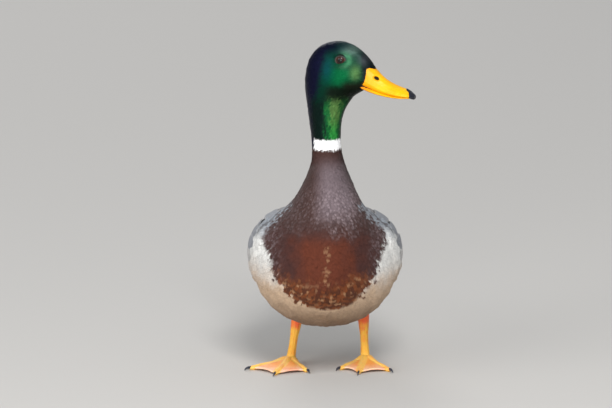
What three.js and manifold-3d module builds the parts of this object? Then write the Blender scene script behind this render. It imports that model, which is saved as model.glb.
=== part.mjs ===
// A life-size mallard drake, standing with its head turned to its left.
// Millimetres, +Z up. The bird faces -Y, and its left side is at +X.
import * as THREE from "three";
import { LoftGeometry } from "three/addons/geometries/LoftGeometry.js";
import { mergeVertices } from "three/addons/utils/BufferGeometryUtils.js";
import Module from "manifold-3d";

const wasm = await Module();
wasm.setup();

// ---- driving dimensions ----
const GAP = 0.3; // clearance between neighbouring pieces
const FLESH_SIDES = 24;
const RINGS_PER_STATION = 2;

const NECK_AXIS = 30; // how far forward the upright neck's axis stands
const HEAD_TURN = THREE.MathUtils.degToRad(70); // to the bird's left
const TURN_FROM = 12.4; // stations between which the neck twists
const TURN_TO = 16.4;
const NECK_CUT = 11.3; // stations where the neck is parted from trunk and head
const HEAD_CUT = 15.6;

const EYE = { forward: 51.7, side: 11.5, up: 336.2, radius: 6.1 };
const BILL = { root: 40, tip: 96.6, rings: 11, sides: 16 };
const NAIL = { from: 88.5, halfWidth: 4.6, skin: 0.5 };

const TAIL = { root: -158, length: 88, rootHalfWidth: 17, halfWidth: 37, feathers: 9, thick: 7 };
const WING = { front: 6.75, back: 2.05, rise: 4.6, sink: 2.2, rings: 10, across: 6 };
const WING_TIP = { from: -92, to: -200, rings: 6, points: 8, side: [45, 14], up: [148, 133] };
const CURL = { side: -8, splay: 5, forward: -181, up: 151, radii: [13.5, 8.5], sweep: 4.6 };

const FOOT_BASE_HEIGHT = 7.5;
const SHANK_FROM = 10; // heights between which the tarsus is a piece of its own
const ANKLE_HEIGHT = 56;
const PAD = { radius: 5.6, height: 5 };
const CLAW = { length: 6.5, radius: 1.5, droop: 2.2 };
const WEB = { thick: 1.5, arch: 1.5, hollow: 0.11 };
const HIND_TOE = { length: 11, splay: 12 };
// Each foot: where it stands, the way its tarsus leans, and the heading and length of each toe.
// A heading is in degrees from straight ahead, positive towards the bird's left.
const FEET = [
  {
    side: "right",
    x: -35.5,
    forward: -30,
    lean: 4.4,
    turn: -16,
    toes: { outer: [-58, 49.5], middle: [-16.8, 55.5], inner: [24, 42.5] },
  },
  {
    side: "left",
    x: 42,
    forward: -37,
    lean: -4,
    turn: -5,
    toes: { outer: [30, 49.5], middle: [-7.7, 55.5], inner: [-38, 43.5] },
  },
];

// The feathered bird as stations from the tail root to the root of the bill, before the head turns.
// Each has its upper and lower outline points (forward, up), half width, shift to the left, the
// share of its height at which it is widest, and how square its section is (2 is an ellipse).
const STATIONS = [
  { at: "tail root", top: [-183, 121], low: [-183, 115], half: 9, left: 0, level: 0.5, full: 2 },
  { at: "coverts", top: [-160, 133], low: [-153, 101], half: 27, left: 0, level: 0.5, full: 2.1 },
  { at: "rump", top: [-126, 145], low: [-113, 81], half: 46, left: 0, level: 0.52, full: 2.1 },
  { at: "hips", top: [-89, 157], low: [-73, 63.5], half: 62, left: 0, level: 0.53, full: 2.1 },
  { at: "loins", top: [-50, 167], low: [-35, 54], half: 72, left: 0, level: 0.54, full: 2.15 },
  { at: "belly", top: [-18, 174], low: [3, 50.5], half: 75.5, left: 0, level: 0.55, full: 2.15 },
  { at: "shoulders", top: [3, 181], low: [39, 54.5], half: 74, left: 0, level: 0.55, full: 2.15 },
  { at: "crop", top: [13, 190], low: [69, 68], half: 64.5, left: 0.5, level: 0.53, full: 2 },
  { at: "breast", top: [17, 201], low: [89, 91], half: 52, left: 1.2, level: 0.5, full: 1.9 },
  { at: "upper breast", top: [18, 212], low: [95, 119], half: 40, left: 2.2, level: 0.5, full: 1.9 },
  { at: "neck root", top: [17.5, 223], low: [88, 150], half: 30, left: 3, level: 0.5, full: 2 },
  { at: "low neck", top: [16.5, 234], low: [74, 180], half: 22, left: 3, level: 0.5, full: 2 },
  { at: "mid neck", top: [14, 244], low: [60.5, 209], half: 16.6, left: 2.5, level: 0.5, full: 2 },
  { at: "collar", top: [13.5, 254], low: [50.5, 238], half: 15, left: 1.2, level: 0.5, full: 2 },
  { at: "green neck", top: [11.5, 270], low: [49, 261], half: 16, left: 0, level: 0.5, full: 2 },
  { at: "nape", top: [8.5, 293], low: [52.5, 280.5], half: 16.6, left: 0, level: 0.5, full: 2 },
  { at: "occiput", top: [8.5, 312.5], low: [58, 292], half: 17.6, left: 0, level: 0.47, full: 2 },
  { at: "cheek", top: [13.3, 333.5], low: [63, 297.5], half: 18.5, left: 0, level: 0.43, full: 2.05 },
  { at: "ear", top: [25.5, 347.5], low: [67.5, 300.5], half: 18, left: 0, level: 0.41, full: 2.1 },
  { at: "crown", top: [43, 353.3], low: [71.5, 303], half: 16.6, left: 0, level: 0.41, full: 2.1 },
  { at: "brow", top: [59, 350.7], low: [75, 305.5], half: 14, left: 0, level: 0.41, full: 2.1 },
  { at: "forehead", top: [71.5, 343], low: [78, 308], half: 11, left: 0, level: 0.42, full: 2.1 },
  { at: "lores", top: [79.5, 335], low: [81.5, 310], half: 8.4, left: 0, level: 0.45, full: 2.1 },
  { at: "bill root", top: [84.5, 329.6], low: [84, 314], half: 5.6, left: 0, level: 0.45, full: 2 },
];

// ---- helpers ----
const radians = THREE.MathUtils.degToRad;
const lerp = THREE.MathUtils.lerp;
const forwardPoint = (x, forward, up) => new THREE.Vector3(x, -forward, up);

// A smooth curve through a table's rows: t from 0 to 1 gives one value for each column.
function smooth(rows) {
  const places = rows.map((_, i) => i / (rows.length - 1));
  const curve = new THREE.CubicInterpolant(places, rows.flat(), rows[0].length);
  return (t) => Array.from(curve.evaluate(t));
}

function solidFrom(positions, corners) {
  return new wasm.Manifold(
    new wasm.Mesh({ numProp: 3, vertProperties: positions, triVerts: corners }),
  );
}

// A closed three.js geometry as a solid that faces outwards.
function solid(geometry) {
  const bare = new THREE.BufferGeometry().copy(geometry);
  bare.deleteAttribute("normal");
  bare.deleteAttribute("uv");
  const merged = mergeVertices(bare, 1e-4);
  const corners = new Uint32Array(merged.index.array);
  const positions = merged.attributes.position.array;
  const made = solidFrom(positions, corners);
  return made.volume() > 0 ? made : solidFrom(positions, corners.slice().reverse());
}

// A closed loft: section(t) gives the ring of points at t, from 0 to 1.
function loft(rings, section) {
  const sections = Array.from({ length: rings + 1 }, (_, i) => section(i / rings));
  return solid(new LoftGeometry(sections, { capStart: true, capEnd: true }));
}

// A thick sheet: place(share, t, face) bends a flat box, share and t running from 0 to 1 across and
// along it and face being 1 on its upper side and -1 on its lower.
function sheet(columns, rows, place) {
  const geometry = new THREE.BoxGeometry(1, 1, 1, columns, rows, 1);
  const flat = geometry.attributes.position;
  for (let i = 0; i < flat.count; i += 1) {
    const to = place(flat.getX(i) + 0.5, flat.getY(i) + 0.5, 2 * flat.getZ(i));
    flat.setXYZ(i, to.x, to.y, to.z);
  }
  return solid(geometry);
}

// A ring of superellipse factors, as [across, upright] pairs.
function ring(sides, full = 2) {
  return Array.from({ length: sides }, (_, i) => {
    const angle = (i / sides) * 2 * Math.PI;
    return [Math.cos(angle), Math.sin(angle)].map(
      (v) => Math.sign(v) * Math.abs(v) ** (2 / full),
    );
  });
}

// A limb in the plane x = 0: rows are [forward, up, half width, half depth] along its middle.
function limb(rows, rings, sides, grow = 0) {
  const row = smooth(rows);
  return loft(rings, (t) => {
    const [forward, up, half, deep] = row(t);
    const [f0, u0] = row(Math.max(0, t - 0.01));
    const [f1, u1] = row(Math.min(1, t + 0.01));
    const along = new THREE.Vector2(f1 - f0, u1 - u0).normalize();
    return ring(sides).map(([c, s]) => {
      const off = (deep + grow) * s;
      return forwardPoint((half + grow) * c, forward - along.y * off, up + along.x * off);
    });
  });
}

function moved(made, matrix) {
  return made.transform(matrix.elements);
}

function box(width, depth, height, x, y, z) {
  return solid(new THREE.BoxGeometry(width, depth, height).translate(x, y, z));
}

// ---- the feathered flesh: trunk, neck and head in one loft ----
const stationRow = smooth(
  STATIONS.map((s) => [...s.top, ...s.low, s.half, s.left, s.level, s.full]),
);
const LAST = STATIONS.length - 1;

// How far the neck has turned at a station.
function turnAt(station) {
  return HEAD_TURN * THREE.MathUtils.smoothstep(station, TURN_FROM, TURN_TO);
}

// Turns a point about the neck's upright axis.
function turned(point, angle) {
  const axis = new THREE.Vector3(0, -NECK_AXIS, 0);
  return point.sub(axis).applyAxisAngle(new THREE.Vector3(0, 0, 1), angle).add(axis);
}

// A point of the plumage at a station, across and upright being factors from -1 to 1.
function fleshPoint(station, across, upright, grow = 0) {
  const [topF, topU, lowF, lowU, half, left, level] = stationRow(station / LAST);
  const rise = new THREE.Vector2(topF - lowF, topU - lowU);
  const height = rise.length();
  rise.normalize();
  const reach = (upright > 0 ? 1 - level : level) * height + grow;
  const v = level * height + reach * upright;
  const end = station === 0 ? -grow : station === LAST ? grow : 0;
  const x = left + (half + grow) * across;
  const point = forwardPoint(x, lowF + rise.x * v + end, lowU + rise.y * v);
  return turned(point, turnAt(station));
}

function flesh(grow) {
  return loft(LAST * RINGS_PER_STATION, (t) => {
    const full = stationRow(t).at(-1);
    return ring(FLESH_SIDES, full).map(([c, s]) => fleshPoint(t * LAST, c, s, grow));
  });
}

// Everything on one side of a station's plane, and half the gap on the other, as one large box.
function beyond(station, side) {
  const size = 1200;
  const top = fleshPoint(station, 0, 1);
  const low = fleshPoint(station, 0, -1);
  const across = new THREE.Vector3(1, 0, 0);
  across.applyAxisAngle(new THREE.Vector3(0, 0, 1), turnAt(station));
  const rise = top.clone().sub(low).normalize();
  const normal = new THREE.Vector3().crossVectors(across, rise).normalize();
  if (normal.z < 0) {
    normal.negate();
  }
  const centre = top.add(low).multiplyScalar(0.5);
  centre.addScaledVector(normal, side * (size / 2 - GAP / 2));
  const frame = new THREE.Matrix4().makeBasis(
    new THREE.Vector3().crossVectors(rise, normal),
    rise,
    normal,
  );
  return solid(new THREE.BoxGeometry(size, size, size).applyMatrix4(frame.setPosition(centre)));
}

// ---- bill and eyes, in the straight head's place and then turned with it ----
const headMatrix = new THREE.Matrix4()
  .makeTranslation(0, -NECK_AXIS, 0)
  .multiply(new THREE.Matrix4().makeRotationZ(HEAD_TURN))
  .multiply(new THREE.Matrix4().makeTranslation(0, NECK_AXIS, 0));

// Culmen height, mouth line height and half width of the bill, from its hidden root to its tip.
const billRow = smooth([
  [334, 309.5, 11.4],
  [334, 307, 11.6],
  [329.3, 305, 11],
  [322.7, 303, 10.2],
  [317.3, 301.7, 9.8],
  [313.6, 300.7, 10.1],
  [310.9, 300.2, 10.9],
  [308.7, 300, 11.4],
  [306.8, 299.8, 9.8],
  [302.4, 299.6, 4.2],
]);

function upperBill(grow) {
  return loft(BILL.rings, (t) => {
    const [top, low, half] = billRow(t);
    const end = t === 0 ? -grow : t === 1 ? grow : 0;
    const forward = NECK_AXIS + lerp(BILL.root, BILL.tip, t) + end;
    const middle = low + (top - low) * 0.3;
    return ring(BILL.sides).map(([c, s]) => {
      const reach = s > 0 ? top - middle : middle - low;
      const pinch = 1 - lerp(0.05, 0.3, t) * Math.max(0, s); // the culmen is the narrower
      return forwardPoint((half + grow) * c * pinch, forward, middle + (reach + grow) * s);
    });
  });
}

// The lower mandible lies under the upper one and shows as a thin rim.
function lowerBill() {
  return loft(6, (t) => {
    const along = lerp(0, 0.93, t);
    const [, low, half] = billRow(along);
    const forward = NECK_AXIS + lerp(BILL.root + 2, BILL.tip, along);
    const deep = lerp(2.6, 1.1, t);
    return ring(8, 2.4).map(([c, s]) =>
      forwardPoint((half - 1.2) * c, forward, low + 0.6 + deep * (s - 0.7)),
    );
  });
}

function nail(grow) {
  const start = (NAIL.from - BILL.root) / (BILL.tip - BILL.root);
  return loft(5, (t) => {
    const along = lerp(start, 1, t);
    const [top, low] = billRow(along);
    const half = NAIL.halfWidth * Math.sqrt(1 - (0.72 * (1 - t)) ** 2) * lerp(1, 0.72, t * t);
    const end = t === 0 ? -grow : grow + NAIL.skin;
    const forward = NECK_AXIS + lerp(BILL.root, BILL.tip, along) + (t === 0 || t === 1 ? end : 0);
    const middle = (top + low) / 2 - 1.2 * t;
    const reach = (top - low) / 2 + NAIL.skin;
    return ring(10, 2.2).map(([c, s]) =>
      forwardPoint((half + grow) * c, forward, middle + (reach + grow) * s),
    );
  });
}

function eye(side, grow) {
  const made = new THREE.SphereGeometry(EYE.radius + grow, 12, 8);
  return solid(made.translate(side * EYE.side, -EYE.forward, EYE.up));
}

// ---- folded wing, wing tip, tail and curled feathers ----

// Angles on the trunk's section, in degrees, of the folded wing's upper and lower edges.
const wingEdges = smooth([
  [22, 6],
  [40, -8],
  [54, -17],
  [62, -20],
  [66, -16],
  [66, -4],
  [60, 14],
  [46, 30],
]);

function wing(side) {
  return sheet(WING.across, WING.rings, (share, t, face) => {
    const station = lerp(WING.front, WING.back, t);
    const [upper, lower] = wingEdges(t);
    const full = stationRow(station / LAST).at(-1);
    const angle = radians(lerp(upper, lower, share));
    const across = Math.cos(angle) ** (2 / full);
    const upright = Math.sign(angle) * Math.abs(Math.sin(angle)) ** (2 / full);
    const round = Math.sin(Math.PI * share) ** 0.6 * Math.sin(Math.PI * (0.1 + 0.8 * t));
    const grow = face > 0 ? 1.2 + WING.rise * round : -WING.sink;
    return fleshPoint(station, side * across, upright, grow);
  });
}

// The left wing's primaries lie along the rump, past the wing.
function wingTip() {
  return loft(WING_TIP.rings, (t) => {
    const forward = lerp(WING_TIP.from, WING_TIP.to, t);
    const x = lerp(...WING_TIP.side, t ** 0.8);
    const up = lerp(...WING_TIP.up, t) - 3 * Math.sin(Math.PI * t);
    const half = lerp(12, 1.6, t ** 2.2);
    const thick = lerp(2.6, 0.7, t);
    const tilt = radians(lerp(48, 22, t));
    return ring(WING_TIP.points).map(([c, s]) =>
      forwardPoint(
        x + half * c * Math.cos(tilt) - thick * s * Math.sin(tilt),
        forward,
        up - half * c * Math.sin(tilt) - thick * s * Math.cos(tilt),
      ),
    );
  });
}

// The tail is a shallow fan, whose edge is scalloped by the tips of its feathers.
function tail() {
  return sheet(TAIL.feathers * 2, 3, (share, t, face) => {
    const u = 2 * share - 1;
    const half = lerp(TAIL.rootHalfWidth, TAIL.halfWidth, Math.sin((t * Math.PI) / 2) ** 0.8);
    const notch = 0.09 * Math.abs(((share * TAIL.feathers) % 1) - 0.5);
    const reach = TAIL.length * t * (1 - 0.3 * u * u - notch * t);
    const thick = lerp(TAIL.thick, 1, t ** 0.7) * Math.sqrt(1 - 0.75 * u * u);
    const up = lerp(117.5, 113, t) - 7 * u * u * lerp(0.3, 1, t) + (face * thick) / 2;
    return forwardPoint(half * u, TAIL.root - reach, up);
  });
}

// A drake's tail coverts curl up and forwards in a loop.
function curl(side) {
  const leadIn = [
    [-146, 131, 3, 1],
    [-164, 134, 4, 1],
  ];
  const turns = Array.from({ length: 9 }, (_, i) => {
    const angle = (i / 8) * CURL.sweep;
    const radius = lerp(...CURL.radii, i / 8);
    return [
      CURL.forward - radius * Math.sin(angle),
      CURL.up - radius * Math.cos(angle),
      lerp(4.2, 2, i / 8),
      0.8,
    ];
  });
  const back = side > 0 ? 0 : 2.5;
  const matrix = new THREE.Matrix4().makeRotationZ(-side * radians(CURL.splay));
  matrix.setPosition(side * CURL.side, back, 0);
  return moved(limb([...leadIn, ...turns], 16, 6), matrix);
}

// ---- legs ----
function footMatrix(foot) {
  return new THREE.Matrix4().makeTranslation(foot.x, -foot.forward, 0);
}

function headed(foot, heading) {
  return footMatrix(foot).multiply(new THREE.Matrix4().makeRotationZ(radians(heading)));
}

// A front toe, with a swelling at each of its joints.
function toe(length, grow = 0) {
  return limb(
    [
      [-2, FOOT_BASE_HEIGHT, 3.9, 4.2],
      [0.16 * length, 6.2, 4.1, 4.2],
      [0.32 * length, 4.2, 3.7, 3.7],
      [0.5 * length, 3.1, 3.1, 3.1],
      [0.66 * length, 3.0, 3.2, 3.2],
      [0.82 * length, 2.5, 2.5, 2.6],
      [0.93 * length, 2.3, 2.3, 2.4],
      [length, 2.2, 1.3, 1.4],
    ],
    8,
    7,
    grow,
  );
}

function claw(from, length = CLAW.length) {
  return limb(
    [
      [from - 3, 2.9, CLAW.radius, CLAW.radius],
      [from + 0.35 * length, 3, CLAW.radius * 0.8, CLAW.radius],
      [from + 0.75 * length, 2.4, CLAW.radius * 0.5, CLAW.radius * 0.7],
      [from + length, 3 - CLAW.droop, 0.3, 0.35],
    ],
    3,
    6,
  );
}

// The web between two toes: a thin arched sheet with a hollow front edge.
function web(first, second) {
  return sheet(5, 3, (share, t, face) => {
    const heading = radians(lerp(first[0], second[0], share));
    const hollow = WEB.hollow * Math.sin(Math.PI * share);
    const reach = lerp(first[1], second[1], share) * lerp(0.06, 0.95 - hollow, t);
    const arch = WEB.arch * Math.sin(Math.PI * share) * t;
    const up = lerp(8.6, 2.1, t ** 0.7) + arch + (face * WEB.thick) / 2;
    return forwardPoint(reach * Math.sin(heading), reach * Math.cos(heading), up);
  });
}

function legMatrix(foot) {
  const lean = new THREE.Matrix4().makeRotationY(radians(foot.lean));
  return headed(foot, foot.turn).multiply(lean);
}

// From the foot up to just past the ankle, which stands behind it.
function shank(foot, grow = 0) {
  const made = limb(
    [
      [1.5, 5, 4.8, 5],
      [0.5, 10, 4.8, 5],
      [-2, 17, 4.1, 4.5],
      [-5, 28, 4.1, 4.6],
      [-8.5, 39, 5.2, 5.7],
      [-11.5, 47.5, 5.9, 6.3],
      [-12.5, 53, 5.9, 6.3],
      [-11, 60, 4.8, 5],
    ],
    9,
    8,
    grow,
  );
  return moved(made, legMatrix(foot));
}

// The feathered lower thigh, from inside the flank down to the ankle.
function thigh(foot) {
  const made = limb(
    [
      [-12, 56, 5.6, 6.2],
      [-10, 60, 9, 10],
      [-5, 68, 13.5, 16],
      [1, 79, 16, 21],
      [8, 92, 15, 20],
    ],
    5,
    12,
  );
  return moved(made, legMatrix(foot));
}

function hindToe(foot) {
  const made = limb(
    [
      [-1, 11.5, 2.4, 2.4],
      [-5, 9.2, 2.5, 2.6],
      [-HIND_TOE.length * 0.75, 5.6, 2.1, 2.1],
      [-HIND_TOE.length, 4.2, 1.3, 1.3],
    ],
    4,
    6,
  );
  return moved(made, headed(foot, foot.turn + HIND_TOE.splay * Math.sign(foot.x)));
}

function hindClaw(foot) {
  const made = limb(
    [
      [-HIND_TOE.length + 2, 4.6, 1.1, 1.1],
      [-HIND_TOE.length - 2.5, 3.6, 0.8, 0.8],
      [-HIND_TOE.length - 5, 1.8, 0.3, 0.3],
    ],
    2,
    6,
  );
  return moved(made, headed(foot, foot.turn + HIND_TOE.splay * Math.sign(foot.x)));
}

// A block round a leg, between two heights.
function legBlock(foot, low, high) {
  return box(120, 120, high - low, foot.x, -foot.forward, (low + high) / 2);
}

// The pad, the front toes and their webs, cut flat on the ground and below the tarsus.
function footSolid(foot) {
  const pad = new THREE.CylinderGeometry(PAD.radius, PAD.radius, PAD.height, 12);
  let made = solid(pad.rotateX(Math.PI / 2).translate(foot.x, -foot.forward, PAD.height / 2));
  const toes = Object.values(foot.toes);
  for (const [heading, length] of toes) {
    made = made.add(moved(toe(length), headed(foot, heading)));
  }
  const webs = web(toes[0], toes[1]).add(web(toes[1], toes[2]));
  made = made.add(moved(webs, footMatrix(foot)));
  return made.subtract(legBlock(foot, -20, 0)).subtract(legBlock(foot, SHANK_FROM - GAP, 110));
}

function tarsusSolid(foot) {
  return shank(foot)
    .subtract(legBlock(foot, -20, SHANK_FROM))
    .subtract(legBlock(foot, ANKLE_HEIGHT, 110));
}

// ---- assembly ----
const mallard = new THREE.Group();

const finish = (color, roughness) => new THREE.MeshStandardMaterial({ color, roughness });
const FINISH = {
  body: finish(0xa9a39a, 0.8),
  neck: finish(0x4a3329, 0.7),
  head: finish(0x0f5a36, 0.4),
  wing: finish(0x84807c, 0.75),
  tail: finish(0xcfc9bf, 0.8),
  curl: finish(0x0c1216, 0.4),
  bill: finish(0xe8b40c, 0.4),
  nail: finish(0x14161c, 0.35),
  eye: finish(0x1c0f0a, 0.1),
  leg: finish(0xe8742a, 0.5),
  claw: finish(0x1c1d22, 0.4),
};

function add(name, made, material) {
  const { vertProperties, triVerts } = made.getMesh();
  const geometry = new THREE.BufferGeometry();
  geometry.setAttribute("position", new THREE.BufferAttribute(vertProperties, 3));
  geometry.setIndex(new THREE.BufferAttribute(triVerts, 1));
  geometry.computeVertexNormals();
  const mesh = new THREE.Mesh(geometry, material);
  mesh.name = name;
  mallard.add(mesh);
}

const whole = flesh(0);
const clear = flesh(GAP);
const bothEyes = moved(eye(1, GAP).add(eye(-1, GAP)), headMatrix);
const bill = moved(upperBill(0), headMatrix);
const billRoom = moved(upperBill(GAP), headMatrix);
const nailRoom = moved(nail(GAP), headMatrix);
const lower = moved(lowerBill(), headMatrix);

const head = whole.subtract(beyond(HEAD_CUT, -1)).subtract(billRoom).subtract(bothEyes);
const neck = whole.subtract(beyond(HEAD_CUT, 1)).subtract(beyond(NECK_CUT, -1));
const trunk = whole.subtract(beyond(NECK_CUT, 1));
add("head", head, FINISH.head);
add("neck", neck, FINISH.neck);
add("bill_upper", bill.subtract(nailRoom), FINISH.bill);
add("bill_lower", lower.subtract(billRoom).subtract(clear).subtract(nailRoom), FINISH.bill);
add("bill_nail", moved(nail(0), headMatrix), FINISH.nail);
add("eye_left", moved(eye(1, 0), headMatrix), FINISH.eye);
add("eye_right", moved(eye(-1, 0), headMatrix), FINISH.eye);

add("tail", tail().subtract(clear), FINISH.tail);

for (const foot of FEET) {
  const side = foot.side;
  const thighRoom = clear.add(legBlock(foot, 0, ANKLE_HEIGHT + GAP));
  add(`foot_${side}`, footSolid(foot), FINISH.leg);
  add(`tarsus_${side}`, tarsusSolid(foot), FINISH.leg);
  add(`thigh_${side}`, thigh(foot).subtract(thighRoom), FINISH.body);
  for (const [name, [heading, length]] of Object.entries(foot.toes)) {
    const tip = claw(length).subtract(toe(length, GAP));
    add(`claw_${name}_${side}`, moved(tip, headed(foot, heading)), FINISH.claw);
  }
  const hind = hindToe(foot);
  const hindRoom = hind.add(hind.translate([0, GAP, 0])).add(hind.translate([0, 0, GAP]));
  add(`hind_toe_${side}`, hind.subtract(shank(foot, GAP)), FINISH.leg);
  add(`claw_hind_${side}`, hindClaw(foot).subtract(hindRoom), FINISH.claw);
}

for (const [name, side] of [["left", 1], ["right", -1]]) {
  const wingSolid = wing(side).subtract(clear);
  add(`wing_${name}`, wingSolid, FINISH.wing);
  const wingRoom = wingSolid.translate([0, GAP, GAP]).add(wingSolid);
  const tip = (side > 0 ? wingTip() : wingTip().mirror([1, 0, 0])).subtract(clear);
  add(`wing_tip_${name}`, tip.subtract(wingRoom), FINISH.wing);
  add(`curl_${name}`, curl(side).subtract(clear), FINISH.curl);
}
add("trunk", trunk, FINISH.body);

// The model's box stands on the ground, centred on the upright axis.
const centre = new THREE.Box3().setFromObject(mallard).getCenter(new THREE.Vector3());
mallard.position.set(-centre.x, -centre.y, 0);

export default mallard;
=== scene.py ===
"""A life-size mallard drake with modelled plumage, standing on a pale studio floor.

Places are worked out in millimetres in the bird's own frame: x to its left, y backwards, z up, with
the origin on the ground under the upright neck's foot. "Neutral" places are those the head and neck
would have if they faced straight ahead.
"""
import math

import bmesh
import bpy
import numpy as np
from mathutils import Matrix, Vector
from mathutils.bvhtree import BVHTree
from mathutils.kdtree import KDTree


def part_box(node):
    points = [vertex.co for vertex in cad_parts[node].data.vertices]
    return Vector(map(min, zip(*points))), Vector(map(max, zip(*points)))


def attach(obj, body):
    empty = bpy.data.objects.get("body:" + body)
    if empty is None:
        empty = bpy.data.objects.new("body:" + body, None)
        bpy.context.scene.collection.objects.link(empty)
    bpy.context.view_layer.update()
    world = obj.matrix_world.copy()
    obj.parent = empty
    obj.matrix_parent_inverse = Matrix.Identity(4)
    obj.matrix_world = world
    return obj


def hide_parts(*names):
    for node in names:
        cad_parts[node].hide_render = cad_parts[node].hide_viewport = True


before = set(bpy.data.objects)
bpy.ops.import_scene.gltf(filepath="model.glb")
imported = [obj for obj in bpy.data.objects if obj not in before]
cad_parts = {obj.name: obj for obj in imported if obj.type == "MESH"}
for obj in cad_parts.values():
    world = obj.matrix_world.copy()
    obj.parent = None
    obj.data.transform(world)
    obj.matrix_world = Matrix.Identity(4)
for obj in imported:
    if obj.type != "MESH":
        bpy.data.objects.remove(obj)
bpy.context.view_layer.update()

# ---- driving sizes, in millimetres ----
MM = 0.001
NECK_AXIS_Y = -30.0  # the upright neck turns about this place
HEAD_TURN = math.radians(70)
TURN_HEIGHTS = (236.0, 312.0)  # the neck twists between these heights
EYE_FORWARD, EYE_SIDE, EYE_HEIGHT, EYE_RADIUS = 21.7, 11.5, 336.2, 6.1
LID_RADIUS = 4.9
LID_SHAPE = np.array([1.1, 0.86, 1.0])  # how far the round lid is drawn out forwards and flattened
NOSTRIL = (58.3, 318.2)  # how far ahead and how high
NOSTRIL_SLOPE = math.radians(-32)
NOSTRIL_LONG, NOSTRIL_TALL, NOSTRIL_DEEP = 3.5, 1.8, 1.8
NAIL_HALF_WIDTH, NAIL_WIDEST, NAIL_LENGTH, NAIL_LOWEST = 4.7, 95.2, 7.2, 300.0
NAIL_HOOK = (91.7, 94.7)  # between these, the nail comes to cover the whole tip
BILL_LOWEST = 290.0  # whatever is as far ahead as the bill and above this belongs to it
SKIN_END = 64.0  # how far along the bill the skin reaches inside it
COLLAR_LOW, COLLAR_HIGH = 241.5, 252.0

BODY_VOXEL, BILL_VOXEL, LEG_VOXEL, CLAW_VOXEL = 1.5, 0.42, 0.55, 0.3
FLESH_NODES = ["trunk", "neck", "head", "thigh_left", "thigh_right", "wing_left", "wing_right"]
FILL_NODES = ["bill_upper", "bill_lower", "eye_left", "eye_right"]
SIDES = {"left": 1, "right": -1}

# The middle of the body from the tail root (0) to the root of the bill (23), as forward and up.
MIDLINE = np.array([
    (-183, 118), (-156, 117), (-119, 113), (-81, 110), (-42, 110), (-8, 112), (21, 118), (41, 129),
    (53, 146), (56.5, 165.5), (53, 186.5), (45, 207), (38, 226.5), (33, 246), (30, 266), (30, 288),
    (32, 304), (37, 317.5), (44, 325), (55, 328), (65, 328), (74, 325.5), (80.5, 322.5), (84, 321.8),
])
LAST_STATION = len(MIDLINE) - 1

# Feather sizes along the body: station, length, width, spacing and how thick the coat lies.
COAT = np.array([
    (0, 15, 7, 3.2, 2.6), (2, 18, 9, 3.4, 3.0), (5, 17, 8.5, 3.1, 3.0), (6.5, 14, 7, 2.7, 2.8),
    (8, 9, 3.8, 1.7, 2.5), (10, 8, 2.9, 1.4, 2.2), (11, 7.5, 2.6, 1.3, 2.0), (12.6, 6.5, 2.3, 1.2, 1.6),
    (14, 6, 2.0, 1.1, 1.4), (16, 5, 1.7, 0.95, 1.2), (18, 4.4, 1.5, 0.9, 1.1), (20, 3.6, 1.3, 0.8, 1.0),
    (21.5, 2.8, 1.1, 0.68, 0.8), (23, 2.2, 0.9, 0.6, 0.7),
])
LOW_PIVOT = (-15.0, 215.0)  # feathers circle these two places, given as forward and up
HIGH_PIVOT = (62.0, 278.0)

rng = np.random.default_rng(11)


# ---- numbers and vectors ----
def smooth(low, high, value):
    """A soft step from 0 at low to 1 at high; with low above high it falls as the value grows."""
    t = np.clip((np.asarray(value, float) - low) / (high - low), 0, 1)
    return t * t * (3 - 2 * t)


def mix(a, b, share):
    """Numbers, or colours and vectors, blended; each vector has one share."""
    share = np.asarray(share, float)
    if share.ndim and max(np.ndim(a), np.ndim(b)):
        share = share[..., None]
    return np.asarray(a) * (1 - share) + np.asarray(b) * share


def unit(v):
    return v / np.maximum(np.linalg.norm(v, axis=-1, keepdims=True), 1e-9)


def srgb(red, green, blue):
    """A colour given as 0 to 255 on a screen, as linear light."""
    c = np.array([red, green, blue]) / 255
    return np.where(c < 0.04045, c / 12.92, ((c + 0.055) / 1.055) ** 2.4)


def layered(tint, *layers):
    """Colours laid over one another, each given as (colour, share)."""
    for colour, share in layers:
        tint = mix(tint, colour, share)
    return tint


def through(t, values):
    """A smooth run through three values, at the shares t of its length."""
    shares = (2 * (t - 0.5) * (t - 1), -4 * t * (t - 1), 2 * t * (t - 0.5))
    return sum(share * np.asarray(value) for share, value in zip(shares, values))


LATTICE = rng.random((32, 32, 32))


def noise(places, size):
    """Smooth random values from 0 to 1 whose blobs are about the given size across."""
    p = places / size + 100
    whole = np.floor(p).astype(int)
    f = p - whole
    f = f * f * (3 - 2 * f)
    value = 0
    for corner in np.ndindex(2, 2, 2):
        at = (whole + corner) % 32
        weight = np.prod(np.where(corner, f, 1 - f), axis=-1)
        value = value + weight * LATTICE[at[..., 0], at[..., 1], at[..., 2]]
    return value


# ---- where the bird stands in the frame, and its head's turn ----
def box_middle(node):
    low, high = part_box(node)
    return np.array((low + high) / 2) / MM


def bird_origin():
    """The frame's place of the bird's own origin, found from its eyes."""
    eyes = (box_middle("eye_left") + box_middle("eye_right")) / 2
    x = EYE_FORWARD * math.sin(HEAD_TURN)
    y = NECK_AXIS_Y - EYE_FORWARD * math.cos(HEAD_TURN)
    return np.array([eyes[0] - x, eyes[1] - y, 0.0])


ORIGIN = bird_origin()


def to_bird(places):
    return np.asarray(places, float) / MM - ORIGIN


def to_frame(places):
    return (np.asarray(places, float) + ORIGIN) * MM


def spin(vectors, angle):
    """Vectors turned about the upright axis, each by its own angle."""
    c, s = np.cos(angle), np.sin(angle)
    x, y, z = vectors[..., 0], vectors[..., 1], vectors[..., 2]
    return np.stack([x * c - y * s, x * s + y * c, z], -1)


def turn_at(height):
    return HEAD_TURN * smooth(*TURN_HEIGHTS, height)


AXIS = np.array([0, NECK_AXIS_Y, 0])


def neutral(places):
    return spin(places - AXIS, -turn_at(places[..., 2])) + AXIS


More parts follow.
